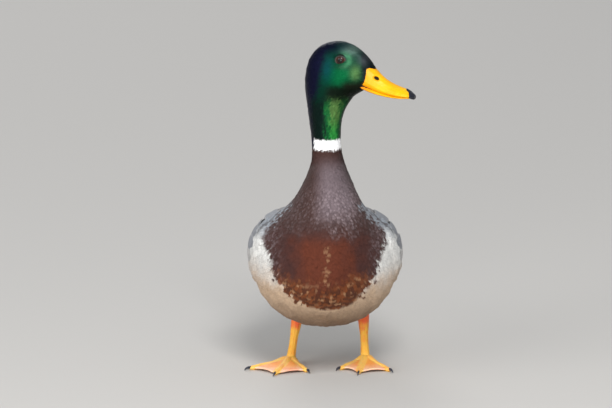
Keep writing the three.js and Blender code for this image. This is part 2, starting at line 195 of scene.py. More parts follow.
def head_place(forward, side, height):
    """A place on the head, from how far it lies ahead of the neck's axis and to the bird's left."""
    straight = np.array([side, -forward, height], float)
    return spin(straight, np.float64(HEAD_TURN)) + AXIS


def head_parts(places):
    """The reverse: how far ahead, to the left and up each place lies on the turned head."""
    straight = spin(places - AXIS, np.full(places.shape[:-1], -HEAD_TURN))
    return -straight[..., 1], straight[..., 0], places[..., 2]


# The front edge of the feathers on the bill's root: (height, how far ahead).
FEATHER_LINE = np.array([
    (306, 38), (310, 41), (312, 45.2), (315, 47.4), (319, 48.4), (325, 48.2), (330, 47.8),
])
WEDGE_TIP = 55.7  # how far ahead the forehead's feathers run to a point on the bill's ridge


def behind_feather_line(places):
    """Whether each place on the head or bill is feathered."""
    ahead, _, up = head_parts(places)
    point = (up > 329.2 - 0.38 * (ahead - 47.8)) & (ahead < WEDGE_TIP)
    return (ahead < np.interp(up, *FEATHER_LINE.T)) | point


# ---- the body's middle line, the lie of the feathers and the skin's unwrap ----
FINE = np.linspace(0, LAST_STATION, 24 * 10)
FINE_LINE = np.stack([np.interp(FINE, np.arange(LAST_STATION + 1), MIDLINE[:, i]) for i in (0, 1)], 1)
FINE_WAY = unit(np.gradient(FINE_LINE, axis=0))


def along_body(places):
    """For each place its station and its angle around the body's middle line."""
    calm = neutral(places)
    flat = np.stack([-calm[:, 1], calm[:, 2]], 1)
    nearest = np.concatenate([
        np.argmin(((part[:, None] - FINE_LINE[None]) ** 2).sum(-1), 1)
        for part in np.array_split(flat, len(flat) // 20000 + 1)
    ])
    way = FINE_WAY[nearest]
    away = flat - FINE_LINE[nearest]
    rise = away[:, 1] * way[:, 0] - away[:, 0] * way[:, 1]
    return FINE[nearest], np.arctan2(calm[:, 0], rise)


def unwrap(places):
    station, around = along_body(places)
    return np.stack([(around / (2 * math.pi)) % 1, station / LAST_STATION], 1) * 0.994 + 0.003


def lie(places, normals):
    """The way the feathers lie: back from the bill, down the neck and back along the trunk."""
    calm = neutral(places)
    forward, up = -calm[:, 1], calm[:, 2]
    angle = np.clip(-np.arctan2(up - LOW_PIVOT[1], forward - LOW_PIVOT[0]), 0, math.pi / 2)
    low = np.stack([-np.sin(angle), -np.cos(angle)], 1)
    high = unit(np.stack([-(up - HIGH_PIVOT[1]), forward - HIGH_PIVOT[0]], 1))
    flat = mix(low, high, smooth(268, 290, up))
    straight = np.stack([np.zeros(len(flat)), -flat[:, 0], flat[:, 1]], 1)
    turned = spin(straight, turn_at(up))
    twist = (turn_at(up + 1) - turn_at(up - 1)) / 2
    from_axis = places - AXIS
    turned[:, 0] -= flat[:, 1] * twist * from_axis[:, 1]
    turned[:, 1] += flat[:, 1] * twist * from_axis[:, 0]
    return unit(turned - normals * (turned * normals).sum(1, keepdims=True))


def coat_sizes(places):
    """Length, width, spacing and depth of the small feathers at each place."""
    station, _ = along_body(places)
    return [np.interp(station, COAT[:, 0], COAT[:, i]) for i in (1, 2, 3, 4)]


def small_depth(places):
    """How high the small feathers rise from the skin: less where the long ones of back and wing lie."""
    station, around = along_body(places)
    angle = np.degrees(np.abs(around))
    along_wing = smooth(2.2, 3.0, station) * smooth(7.6, 7.0, station)
    covered = along_wing * smooth(16, 26, angle) * smooth(92, 82, angle)
    return np.interp(station, COAT[:, 0], COAT[:, 4]) * (1 - 0.6 * covered)


# ---- markings: the same for skin and feathers ----
WHITE, SILVER = srgb(246, 246, 246), srgb(158, 142, 146)
# The upper neck's green, brightened in a band as a painted sheen, lower and higher on the neck.
NECK_SHEEN, NECK_LEAF = srgb(48, 146, 64), srgb(84, 122, 64)
NECK_DARK, NAVY = srgb(8, 26, 22), srgb(13, 15, 40)
EMERALD, DEEP_GREEN, TEAL, CROWN = srgb(0, 84, 46), srgb(4, 44, 32), srgb(2, 58, 66), srgb(24, 48, 58)
NECK_BROWN, NECK_SILVER, BREAST_DARK = srgb(62, 42, 38), srgb(102, 89, 93), srgb(62, 35, 31)
BREAST_RED, BREAST_RUST = srgb(86, 40, 24), srgb(118, 62, 28)
BREAST_FLECK, SPOT = srgb(186, 150, 112), srgb(50, 26, 17)
# The lower flanks' and belly's colours are the pale grey underside, painted darker as painted shade and tan
# as painted bounce light from the floor.
FLANK, FLANK_LOW_BOUNCE, FLANK_BLUE = srgb(222, 221, 217), srgb(194, 166, 138), srgb(146, 152, 160)
FLANK_SHADE = srgb(168, 160, 150)
BELLY_SHADE_AND_BOUNCE, MANTLE, RUMP = srgb(124, 94, 68), srgb(96, 86, 78), srgb(14, 17, 20)
COLLAR_GAP = (-102.0, 58.0)  # middle and half width, in degrees to the left of straight ahead
SHEEN_BAND_AT = 29.0  # where the upper neck's painted sheen band runs, in degrees to the left of straight ahead
# Half the width of the brown breast at each height: (height, half width).
BREAST_EDGE = np.array([
    (78, -30), (83, 14), (86, 24), (91, 33), (98, 41), (106, 48), (118, 55), (130, 57), (138, 61), (145, 64),
    (154, 61), (165, 51), (174, 43), (184, 36), (196, 60), (204, 120),
])


def spot(x, y, x0, y0, wide, tall):
    """A round soft patch: 1 at its middle, fading over the given widths."""
    return np.exp(-((x - x0) / wide) ** 2 - ((y - y0) / tall) ** 2)


def round_neck(places):
    """How many degrees to the left of straight ahead each place lies about the neck's axis."""
    return np.degrees(np.arctan2(places[:, 0], NECK_AXIS_Y - places[:, 1]))


def head_markings(calm, jitter, places):
    """Emerald cheeks, a navy nape and crown, and a painted sheen band down the front of the upper neck, a
    little to its left, the neck darker away from it as painted shade.
    """
    forward, up = NECK_AXIS_Y - calm[:, 1], calm[:, 2]
    around = round_neck(places)
    streaks = noise(np.stack([around / 3.4, up / 5.0, 0 * up], 1), 1.0) - 0.5
    from_sheen_band = np.abs((around - SHEEN_BAND_AT + 180) % 360 - 180) + jitter * 9 + 16 * streaks
    neck = layered(
        mix(NECK_SHEEN, NECK_LEAF, smooth(256, 280, up)) * (1 + 0.9 * streaks[:, None]),
        (srgb(16, 84, 40), smooth(6, 20, from_sheen_band)),
        # painted shade: away from the painted sheen band the neck turns darker, and navy at the back
        (NECK_DARK, smooth(20, 36, from_sheen_band)),
        (NAVY, smooth(70, 110, from_sheen_band)),
    )
    top = smooth(339, 349, up + jitter * 2)
    past_eye = forward - 22.5
    from_eye = np.hypot(past_eye / 1.25, up - EYE_HEIGHT)
    head = layered(
        DEEP_GREEN,
        (EMERALD, np.minimum(1.2 * spot(forward, up, 20, 320, 14, 12), 1)),  # cheek
        (TEAL, spot(forward, up, 8, 326, 7, 13) * 0.8),  # behind the cheek
        (NAVY, smooth(8, -2, forward + jitter * 4 - 0.18 * (up - 330))),  # nape
        (NAVY, top * smooth(26, 10, forward) * 0.9),  # back of the crown
        (CROWN, top * smooth(12, 28, forward) * 0.85),
        (srgb(112, 140, 126), spot(forward, up, 33, 347, 8, 5) * 0.6),  # painted highlight on the brow
        (srgb(8, 34, 28), spot(forward, up, 26, 329.5, 12, 2.2) * 0.7),  # shade under the eye
        (srgb(64, 120, 84), spot(from_eye, 0, 7.0, 0, 2.2, 1) * smooth(-6, 8, past_eye) * 0.5),  # eye ring
        (srgb(98, 138, 78), spot(forward, up, 38, 323, 4.6, 7) * 0.55),  # bright patch before the cheek
        (srgb(30, 32, 22), smooth(317, 309, up) * smooth(22, 30, forward) * 0.9),  # chin
        (srgb(18, 24, 26), smooth(42, 46, forward + 0.1 * (up - 325)) * 0.92),  # round the bill's root
        (srgb(70, 74, 80), spot(forward, up, 45, 338, 6, 6) * 0.6),  # painted sheen on the forehead, grey over its green
        (srgb(14, 22, 14), smooth(313, 304, up) * smooth(2, 14, forward) * 0.92),  # throat, darkened as painted shadow under the chin
    )
    return mix(neck, head, smooth(284, 300, up + 4 * jitter))


def breast_markings(calm, jitter, places):
    """Purplish brown above, dark reddish brown in the middle, rusty and barred with buff below."""
    left, forward, up = calm[:, 0], -calm[:, 1], calm[:, 2]
    side = np.abs(left)
    grain, fine = noise(places, 9.0) - 0.5, noise(places, 3.2)
    lit = smooth(-16, 4, left) * smooth(40, 22, left)
    wavy = np.sin(up * 2 * math.pi / 4.2 + 9 * noise(places, 8.0))
    line = smooth(4.5, 2.0, np.abs(left - 1.8)) * smooth(152, 146, up) * smooth(104, 110, up)
    low = smooth(120, 98, up + 16 * grain)
    low_flecks = smooth(0.5, 0.95, wavy) * smooth(0.4, 0.62, fine) * low * 0.5
    chest = layered(
        BREAST_DARK,
        (BREAST_RED, smooth(46, 14, side + 20 * grain) * smooth(168, 146, up)),
        (BREAST_RUST, smooth(118, 94, up + 22 * grain + 6 * jitter - 0.12 * side)),
        (NECK_BROWN, smooth(146, 176, up + 12 * grain)),
        (NECK_SILVER, smooth(164, 188, up + 10 * grain) * smooth(240, 216, up) * lit),
        (BREAST_FLECK, np.clip(smooth(0.1, 0.75, wavy) * line * 0.25 + low_flecks, 0, 1)),
        (SPOT, (smooth(0.2, -0.6, wavy) * 0.55 + 0.22) * low),
        (srgb(52, 38, 35), smooth(48, 22, forward - 0.5 * left) * smooth(180, 210, up) * 0.8),
    )
    fringe = smooth(150, 176, up + 20 * grain) * smooth(216, 190, up) * mix(0.2, 0.55, lit)
    fringe = fringe + smooth(40, 54, side) * 0.3
    ragged = (noise(places, 3.4) - 0.5) * (5 + 14 * smooth(120, 96, up))
    brown = smooth(-1.4, 1.4, np.interp(up, *BREAST_EDGE.T) - side + jitter * 3.5 + ragged)
    brown = brown * smooth(8, 24, forward + jitter * 8 + 0.35 * (up - 180))
    return chest, np.maximum(brown, smooth(196, 206, up)), np.clip(fringe, 0, 1)


def body_markings(calm, jitter, places):
    """Pale grey flanks, blue-grey above, and tan below where painted shade and painted bounce light from the
    floor darken and warm the grey, with a brown back and black round the tail.
    """
    forward, side, up = -calm[:, 1], np.abs(calm[:, 0]), calm[:, 2]
    grain = noise(places, 9.0) - 0.5
    # the share of the tan painted bounce light from the floor, growing towards the front of the belly
    floor_bounce = smooth(-70, -5, forward + 14 * grain)
    mantle = smooth(34, 20, side + jitter * 6) * smooth(150, 166, up - 0.1 * np.minimum(forward, 0))
    # painted shadow: a dark crescent in the gap between the breast's feathers and the shoulder feathers
    gap_shadow = smooth(3.5, 1.5, np.abs(forward - 17.5 + jitter)) * smooth(30, 38, side) * smooth(142, 152, up)
    rump = smooth(-100, -122, forward + jitter * 8 + 0.06 * (up - 120))
    under = smooth(-96, -116, forward + jitter * 6) * smooth(106, 96, up + forward * 0.1)
    black = np.clip(rump + under, 0, 1)
    patch = spot(forward, side, -104, 40, 8, 14) * smooth(124, 114, up) * smooth(80, 90, up)
    tint = layered(
        mix(FLANK_SHADE, BELLY_SHADE_AND_BOUNCE, floor_bounce),
        (mix(FLANK_SHADE, FLANK_LOW_BOUNCE, floor_bounce), smooth(56, 92, up + 8 * grain)),
        (FLANK, smooth(mix(64, 90, floor_bounce), mix(100, 128, floor_bounce), up + 12 * grain)),
        (FLANK_BLUE, smooth(138, 160, up + 6 * grain) * 0.95),
        (MANTLE, mantle * 0.9),
        (srgb(84, 82, 84), gap_shadow * 0.8),
        (RUMP, black),
        (WHITE, np.clip(patch * 1.3, 0, 1) * 0.85),
    )
    return tint, black


def markings(places, jitter=0.0):
    """For each place its colour, how far wavy bars cross it, its gloss and how pale its tips are."""
    calm = neutral(places)
    up = calm[:, 2]
    jitter = np.zeros(len(places)) + jitter
    body, black = body_markings(calm, jitter, places)
    chest, brown, fringe = breast_markings(calm, jitter, places)
    head = smooth(-0.7, 0.7, up - COLLAR_HIGH + jitter)
    ring = smooth(-0.8, 0.8, up - COLLAR_LOW + jitter * 1.4) * (1 - head)
    from_gap = np.abs(round_neck(places) - COLLAR_GAP[0]) + 5 * jitter
    collar = mix(WHITE, NAVY, smooth(COLLAR_GAP[1], COLLAR_GAP[1] - 8, from_gap))
    tint = layered(body, (chest, brown), (head_markings(calm, jitter, places), head), (collar, ring))
    wave = (1 - brown) * (1 - black) * (1 - smooth(200, 210, up))
    return tint, wave, np.maximum(head, black * 0.5), fringe * brown * smooth(236, 228, up)


# ---- meshes from and to arrays ----
def link(name, mesh):
    made = bpy.data.objects.new(name, mesh)
    bpy.context.scene.collection.objects.link(made)
    return made


def joined_copy(name, nodes, grow):
    """One mesh of merged copies of CAD nodes, each swollen a little so that they overlap."""
    whole = bmesh.new()
    for node in nodes:
        piece = bmesh.new()
        piece.from_mesh(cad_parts[node].data)
        bmesh.ops.remove_doubles(piece, verts=piece.verts, dist=1e-5)
        piece.normal_update()
        shifts = [vertex.normal * grow * MM for vertex in piece.verts]
        for vertex, shift in zip(piece.verts, shifts):
            vertex.co += shift
        part = bpy.data.meshes.new("part")
        piece.to_mesh(part)
        piece.free()
        whole.from_mesh(part)
        bpy.data.meshes.remove(part)
    mesh = bpy.data.meshes.new(name)
    whole.to_mesh(mesh)
    whole.free()
    return mesh


def remeshed(name, nodes, grow, voxel, rounds=0):
    """An even, smoothed mesh of quads round CAD nodes, as vertices and faces in the bird's frame."""
    rough = link(name, joined_copy(name, nodes, grow))
    change = rough.modifiers.new("Even", "REMESH")
    change.mode = "VOXEL"
    change.voxel_size = voxel * MM
    graph = bpy.context.evaluated_depsgraph_get()
    mesh = bpy.data.meshes.new_from_object(rough.evaluated_get(graph))
    bpy.data.objects.remove(rough)
    places = np.zeros(len(mesh.vertices) * 3)
    mesh.vertices.foreach_get("co", places)
    faces = np.array([tuple(face.vertices) for face in mesh.polygons if len(face.vertices) == 4])
    bpy.data.meshes.remove(mesh)
    return softened(to_bird(places.reshape(-1, 3)), faces, rounds), faces


def softened(places, faces, rounds):
    """Takes facets and ripples out of an even mesh without shrinking it."""
    pairs = np.concatenate([faces[:, [i, (i + 1) % 4]] for i in range(4)])
    a, b = np.unique(np.sort(pairs, 1), axis=0).T
    count = np.bincount(np.concatenate([a, b]), minlength=len(places))[:, None]
    for step in range(rounds * 2):
        pull = np.zeros_like(places)
        for axis in range(3):
            pull[:, axis] += np.bincount(a, places[b, axis], len(places))
            pull[:, axis] += np.bincount(b, places[a, axis], len(places))
        places = places + (0.5 if step % 2 == 0 else -0.52) * (pull / np.maximum(count, 1) - places)
    return places


def vertex_normals(places, faces):
    across = places[faces[:, 2]] - places[faces[:, 0]]
    other = places[faces[:, 3]] - places[faces[:, 1]]
    face_normals = np.cross(across, other)
    total = np.zeros_like(places)
    for corner in range(4):
        for axis in range(3):
            total[:, axis] += np.bincount(faces[:, corner], face_normals[:, axis], len(places))
    return unit(total)


def build(name, places, faces, material, replaced, tints, values=None, maps=None):
    """A finished piece: faces is a list of arrays of quads or triangles."""
    groups = [np.asarray(group) for group in faces if len(group)]
    corners = np.concatenate([group.ravel() for group in groups])
    sizes = np.concatenate([np.full(len(group), group.shape[1]) for group in groups])
    mesh = bpy.data.meshes.new(name)
    mesh.vertices.add(len(places))
    mesh.vertices.foreach_set("co", to_frame(places).ravel())
    mesh.loops.add(len(corners))
    mesh.loops.foreach_set("vertex_index", corners)
    mesh.polygons.add(len(sizes))
    mesh.polygons.foreach_set("loop_start", np.concatenate([[0], np.cumsum(sizes)[:-1]]))
    mesh.update(calc_edges=True)
    mesh.polygons.foreach_set("use_smooth", np.ones(len(sizes), bool))
    for label, pairs in (maps or {}).items():
        layer = mesh.uv_layers.new(name=label)
        layer.uv.foreach_set("vector", (pairs if len(pairs) == len(corners) else pairs[corners]).ravel())
    colours = np.concatenate([np.clip(tints, 0, 1), np.ones((len(tints), 1))], 1)
    mesh.color_attributes.new("Tint", "FLOAT_COLOR", "POINT").data.foreach_set("color", colours.ravel())
    for label, row in (values or {}).items():
        mesh.attributes.new(label, "FLOAT", "POINT").data.foreach_set("value", row)
    mesh.materials.append(material)
    made = link(name, mesh)
    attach(made, "root")
    if replaced:
        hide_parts(*replaced)
    return made


# ---- shader groups and materials ----
class Wiring:
    """Adds and links nodes in a shader tree."""

    def __init__(self, tree):
        self.tree = tree

    def feed(self, node, **inputs):
        """Links or sets a node's sockets, called by name, or by number as i0, i1 and so on."""
        for key, value in inputs.items():
            socket = node.inputs[int(key[1:]) if key[1:].isdigit() else key.replace("_", " ")]
            if isinstance(value, bpy.types.NodeSocket):
                self.tree.links.new(value, socket)
            else:
                socket.default_value = value
        return node

    def add(self, kind, settings=None, **inputs):
        node = self.tree.nodes.new(kind)
        for key, value in (settings or {}).items():
            setattr(node, key, value)
        return self.feed(node, **inputs)

    def maths(self, operation, *values):
        inputs = {f"i{i}": value for i, value in enumerate(values)}
        return self.add("ShaderNodeMath", {"operation": operation}, **inputs).outputs[0]

    def times(self, value, by):
        return self.maths("MULTIPLY", value, by)

    def scaled(self, value, by, plus):
        return self.maths("ADD", self.times(value, by), plus)

    def ripple(self, value, pitch):
        return self.maths("SINE", self.maths("DIVIDE", self.times(value, 2 * math.pi), pitch))

    def blend(self, share, first, second, kind="MIX"):
        settings = {"data_type": "RGBA", "blend_type": kind}
        return self.add("ShaderNodeMix", settings, i0=share, i6=first, i7=second).outputs[2]

    def attribute(self, name, output="Fac"):
        return self.add("ShaderNodeAttribute", {"attribute_name": name}).outputs[output]

    def noise(self, place, scale, detail):
        return self.add("ShaderNodeTexNoise", i0=place, Scale=scale, Detail=detail).outputs[0]

    def bump(self, strength, distance, height, **inputs):
        node = self.add("ShaderNodeBump", Strength=strength, Distance=distance, Height=height, **inputs)
        return node.outputs[0]


def vane_group(name, pitch, outputs, seed_reach):
    """A group that knows each place on a feather: millimetres across and along, and the feather's seed."""
    tree = bpy.data.node_groups.new(name, "ShaderNodeTree")
    tree.interface.new_socket("Pitch", in_out="INPUT", socket_type="NodeSocketFloat").default_value = pitch
    for label in outputs:
        tree.interface.new_socket(label, in_out="OUTPUT", socket_type="NodeSocketFloat")
    w = Wiring(tree)
    spread = w.add("ShaderNodeUVMap", {"uv_map": "Vane"})
    parts = w.add("ShaderNodeSeparateXYZ", i0=spread.outputs[0])
    across, along = (w.times(parts.outputs[i], 100.0) for i in (0, 1))
    seed = w.times(w.attribute("Seed"), seed_reach)
    return w, across, along, seed, w.add("NodeGroupInput").outputs["Pitch"], w.add("NodeGroupOutput")


def barbs_group():
    """Barbs slanting out from each feather's shaft, as a height and a streak value."""
    w, across, along, seed, pitch, out = vane_group("Feather barbs", 0.5, ["Height", "Streak"], 57.0)
    slant = w.maths("SUBTRACT", along, w.times(w.maths("ABSOLUTE", across), 1.3))
    place = w.add("ShaderNodeCombineXYZ", i0=w.times(slant, 2.2), i1=w.times(across, 0.5), i2=seed)
    grain = w.noise(place.outputs[0], 1.0, 2.0)
    ridge = w.scaled(w.ripple(slant, pitch), 0.25, 0.5)
    w.feed(out, Height=w.maths("ADD", w.times(ridge, 0.5), w.times(grain, 0.8)), Streak=grain)
    return w.tree


def wavy_bars_group():
    """Fine dark wavy lines across each feather, as a mask."""
    w, across, along, seed, pitch, out = vane_group("Wavy bars", 1.1, ["Mask"], 91.0)
    place = w.add("ShaderNodeCombineXYZ", i0=across, i1=along, i2=seed)
    moved = w.maths("ADD", along, w.times(w.noise(place.outputs[0], 0.9, 1.0), 2.6))
    w.feed(out, Mask=w.maths("POWER", w.scaled(w.ripple(moved, pitch), 0.5, 0.5), 2.0))
    return w.tree


BARBS = barbs_group()
WAVY_BARS = wavy_bars_group()
BAR_SHADE = (0.30, 0.28, 0.27, 1)  # how dark the wavy bars leave each colour


def start_material(name):
    material = bpy.data.materials.new(name)
    material.use_nodes = True
    return material, Wiring(material.node_tree), material.node_tree.nodes["Principled BSDF"]


def plumage_material(name, roughness, wave_share=0.5, bump=0.5, metal=0.0, shine=0.18, sheen=0.06):
    """Feathers: each vane's own Tint, streaked by its barbs and crossed by wavy bars where Wave says."""
    material, w, shader = start_material(name)
    gloss = w.attribute("Gloss")
    barbs = w.add("ShaderNodeGroup", {"node_tree": BARBS})
    bars = w.add("ShaderNodeGroup", {"node_tree": WAVY_BARS})
    light = w.scaled(barbs.outputs["Streak"], 0.6, 0.7)
    streaked = w.blend(1.0, w.attribute("Tint", "Color"), light, "MULTIPLY")
    dark = w.blend(1.0, streaked, BAR_SHADE, "MULTIPLY")
    amount = w.times(w.times(bars.outputs["Mask"], w.attribute("Wave")), wave_share)
    w.feed(
        shader,
        Base_Color=w.blend(amount, streaked, dark),
        Roughness=w.maths("SUBTRACT", roughness, w.times(gloss, 0.34)),
        Metallic=w.times(gloss, metal),
        Specular_IOR_Level=shine,
        Sheen_Weight=sheen,
        Sheen_Roughness=0.5,
        Normal=w.bump(bump, 0.0003, barbs.outputs["Height"]),
    )
    return material


def horn_material(name, roughness, grain_size, bump, shine=0.5, plate_size=None):
    """Bill, claws and legs: their own Tint with a fine grain, and on the legs a net of small plates."""
    material, w, shader = start_material(name)
    place = w.add("ShaderNodeTexCoord").outputs["Object"]
    grain = w.noise(place, 1 / (grain_size * MM), 4.0)
    normal = w.bump(bump, 0.0002, grain)
    if plate_size:
        plates = w.add("ShaderNodeTexVoronoi", {"feature": "DISTANCE_TO_EDGE"}, i0=place,
                       Scale=1 / (plate_size * MM))
        flat = w.maths("MINIMUM", w.times(plates.outputs[0], 6.0), 1.0)
        normal = w.bump(0.55, 0.0003, flat, Normal=normal)
        w.feed(shader, Subsurface_Weight=0.15, Subsurface_Radius=(0.002, 0.0008, 0.0004))
    w.feed(
        shader,
        Base_Color=w.blend(1.0, w.attribute("Tint", "Color"), w.scaled(grain, 0.35, 0.82), "MULTIPLY"),
        Roughness=w.scaled(w.attribute("Dull"), 0.55, roughness),
        Specular_IOR_Level=shine,
        Normal=normal,
    )
    return material


def eye_material():
    """Wet dark brown iris round a black pupil; the eye's own Tint holds the colours."""
    material, w, shader = start_material("Wet eye")
    w.feed(shader, Base_Color=w.attribute("Tint", "Color"), Roughness=0.06, IOR=1.38)
    return material


# ---- the skin ----
class Surface:
    """A mesh with a quick nearest-place search and smooth normals."""

    def __init__(self, places, faces):
        self.places, self.faces = places, faces
        self.normals = vertex_normals(places, faces)
        self.tree = BVHTree.FromPolygons(places.tolist(), faces.tolist())

    def settle(self, places):
        """The nearest places on the surface, and its smooth normals there."""
        found = [self.tree.find_nearest(place) for place in places.tolist()]
        hits, numbers = np.array([hit[0] for hit in found]), np.array([hit[2] for hit in found])
        return hits, unit(self.normals[self.faces[numbers]].mean(1))

    def cast(self, start, end):
        """Where a line first meets the surface, and the smooth normal there."""
        hit = self.tree.ray_cast(Vector(start), Vector(end - start))
        if hit[0] is None:
            hit = self.tree.find_nearest(Vector((start + end) / 2))
        return np.array(hit[0]), unit(self.normals[self.faces[hit[2]]].mean(0))


def make_skin():
    """The flesh's solids as one smooth skin, sunk by the coat's depth and cut off inside the bill."""
    places, faces = remeshed("skin", FLESH_NODES + FILL_NODES, 0.4, BODY_VOXEL, 14)
    normals = vertex_normals(places, faces)
    in_bill = smooth(50, 56, head_parts(places)[0]) * (places[:, 2] > BILL_LOWEST)
    depth = coat_sizes(places)[3] + 0.4 + 0.9 * in_bill
    places = softened(places - normals * depth[:, None], faces, 4)
    beyond = (head_parts(places)[0] > SKIN_END) & (places[:, 2] > BILL_LOWEST)
    used, faces = np.unique(faces[~beyond[faces].any(1)], return_inverse=True)
    return Surface(places[used], faces.reshape(-1, 4))


def show_skin():
    """The skin itself, seen only between feathers and as the dark line of the closed mouth; both are painted
    darker as painted shade.
    """
    tint = markings(skin.places)[0]
    ahead, _, up = head_parts(skin.places)
    mouth = smooth(44, 47, ahead) * smooth(316, 312, up) * (up > BILL_LOWEST)
    # painted shade: the skin darkened where it shows between feathers, and the mouth's line painted dark in
    # the gap between the mandibles
    tint = mix(tint * 0.55, srgb(34, 20, 12), mouth)
    flat = unwrap(skin.places)[skin.faces]
    across_seam = np.ptp(flat[..., 0], axis=1) > 0.5
    flat[across_seam, :, 0] = np.maximum(flat[across_seam, :, 0], 0.99)
    flat = flat.reshape(-1, 2)
    none = np.zeros(len(tint))
    build("skin", skin.places, [skin.faces], BODY_PLUMAGE, FLESH_NODES, tint,
          {"Wave": none, "Gloss": none, "Seed": none}, {"OFBake": flat, "Vane": flat})


def bill_tree():
    """A search tree of the solid bill, to keep feathers off it."""
    mesh = joined_copy("bill", ["bill_upper", "bill_lower"], 0.1)
    tree = BVHTree.FromPolygons(
        [tuple(to_bird(v.co)) for v in mesh.vertices], [tuple(f.vertices) for f in mesh.polygons])
    bpy.data.meshes.remove(mesh)
    return tree


# ---- feathers ----
BAKE_PATCH = 0.0013  # half the size of each feather's patch on its OFBake map


class Feathers:
    """Collects feathers row by row and joins them into one piece."""

    def __init__(self):
        kinds = ("places", "quads", "tips", "normals", "tints", "Wave", "Gloss", "Seed", "OFBake", "Vane")
        self.parts = {kind: [] for kind in kinds}
        self.count = 0

    def add(self, spine, normal, width, profile, cup, columns, tints, wave, gloss, roots, teeth, roll,
            softness, steps=None):
        """spine and normal are (feathers, rows, 3); tints is that, or (feathers, rows, columns, 3)."""
        number, rows = spine.shape[:2]
        way = unit(np.gradient(spine, axis=1))
        side = unit(np.cross(normal, way))
        turn = np.asarray(roll, float).reshape(-1, 1, 1) * np.ones((number, 1, 1))
        side, normal = (side * np.cos(turn) + normal * np.sin(turn),
                        normal * np.cos(turn) - side * np.sin(turn))
        u = np.linspace(-1, 1, columns)
        half = (width / 2)[:, None] * profile[None]
        spread = half[..., None] * u
        grid = (spine[:, :, None] + side[:, :, None] * spread[..., None]
                - normal[:, :, None] * (cup * half[..., None] * u ** 2)[..., None])
        length = np.linalg.norm(spine[:, -1] - spine[:, 0], axis=1)
        steps = np.linspace(0, 1, rows) if steps is None else steps
        middle = (u[1:] + u[:-1]) / 2
        reach = length[:, None] * teeth * (0.55 + 0.9 * rng.random((number, columns - 1)))
        reach = reach * (1 - 0.5 * middle ** 2)
        last = (grid[:, -1, 1:] + grid[:, -1, :-1]) / 2
        apex = last + way[:, -1, None] * reach[..., None] - normal[:, -1, None] * (reach * 0.06)[..., None]

        per = rows * columns + columns - 1
        start = self.count + np.arange(number)[:, None, None] * per
        cell = (np.arange(rows - 1)[:, None] * columns + np.arange(columns - 1)[None])[None]
        corner = start + cell
        quads = np.stack([corner, corner + columns, corner + columns + 1, corner + 1], -1)
        base = start[:, 0] + (rows - 1) * columns + np.arange(columns - 1)
        self.parts["quads"].append(quads.reshape(-1, 4))
        self.parts["tips"].append(np.stack([base, base + columns, base + 1], -1).reshape(-1, 3))
        self.count += number * per

        def keep(kind, vane, tips):
            """Stores what holds on each feather's grid, followed by its row of tips."""
            size = vane.shape[-1]
            both = np.concatenate([vane.reshape(number, -1, size), tips], 1)
            self.parts[kind].append(both.reshape(-1, size))

        keep("places", grid, apex)
        true = unit(np.cross(np.gradient(grid, axis=1), np.gradient(grid, axis=2)))
        soft = unit(mix(true, normal[:, :, None], softness))
        keep("normals", soft, np.repeat(normal[:, -1:], columns - 1, 1))
        if tints.ndim == 3:
            tints = np.repeat(tints[:, :, None], columns, 2)
        keep("tints", tints, (tints[:, -1, 1:] + tints[:, -1, :-1]) / 2)
        for kind, value in (("Wave", wave), ("Gloss", gloss), ("Seed", rng.random(number))):
            self.parts[kind].append(np.repeat(np.broadcast_to(value, number), per))
        along = steps[None, :, None] * length[:, None, None]
        tip = np.stack([half[:, -1:] * middle, length[:, None] + reach], -1)
        keep("Vane", np.stack(np.broadcast_arrays(spread, along), -1) * 0.01, tip * 0.01)
        patch = np.concatenate([
            np.stack(np.broadcast_arrays(u[None], (steps * 2 - 1)[:, None]), -1).reshape(-1, 2),
            np.stack([middle, np.ones(columns - 1) * 1.1], -1)])
        self.parts["OFBake"].append((unwrap(roots)[:, None] + patch[None] * BAKE_PATCH).reshape(-1, 2))

    def finish(self, name, material, slot, replaced=()):
        whole = {kind: np.concatenate(rows) for kind, rows in self.parts.items()}
        made = build(name, whole["places"], [whole["quads"], whole["tips"]], material, replaced,
                     whole["tints"], {kind: whole[kind] for kind in ("Wave", "Gloss", "Seed")},
                     {kind: whole[kind] for kind in ("OFBake", "Vane")})
        made.data.normals_split_custom_set_from_vertices(whole["normals"])


CROWDING = 3.2  # how many places are tried for each that the spacing asks for


def spaced(surface, keep, spacing):
    """Places spread evenly over the kept faces, each about its own spacing from the next."""
    faces = surface.faces[keep]
    corners = surface.places[faces]
    area = np.linalg.norm(np.cross(corners[:, 2] - corners[:, 0], corners[:, 3] - corners[:, 1]), axis=1) / 2
    gap = spacing[keep]
    weight = area / gap ** 2
    number = int(weight.sum() * CROWDING)
    pick = rng.choice(len(faces), number, p=weight / weight.sum())
    a, b = rng.random((2, number, 1))
    c = corners[pick]
    places = (c[:, 0] * (1 - a) + c[:, 1] * a) * (1 - b) + (c[:, 3] * (1 - a) + c[:, 2] * a) * b
    gaps = gap[pick]
    tree = KDTree(number)
    for i, place in enumerate(places.tolist()):
        tree.insert(place, i)
    tree.balance()
    open_ = np.ones(number, bool)
    chosen = []
    for i, (place, reach) in enumerate(zip(places.tolist(), gaps.tolist())):
        if open_[i]:
            chosen.append(i)
            for _, other, _ in tree.find_range(place, reach * 0.86):
                open_[other] = False
    return places[chosen]


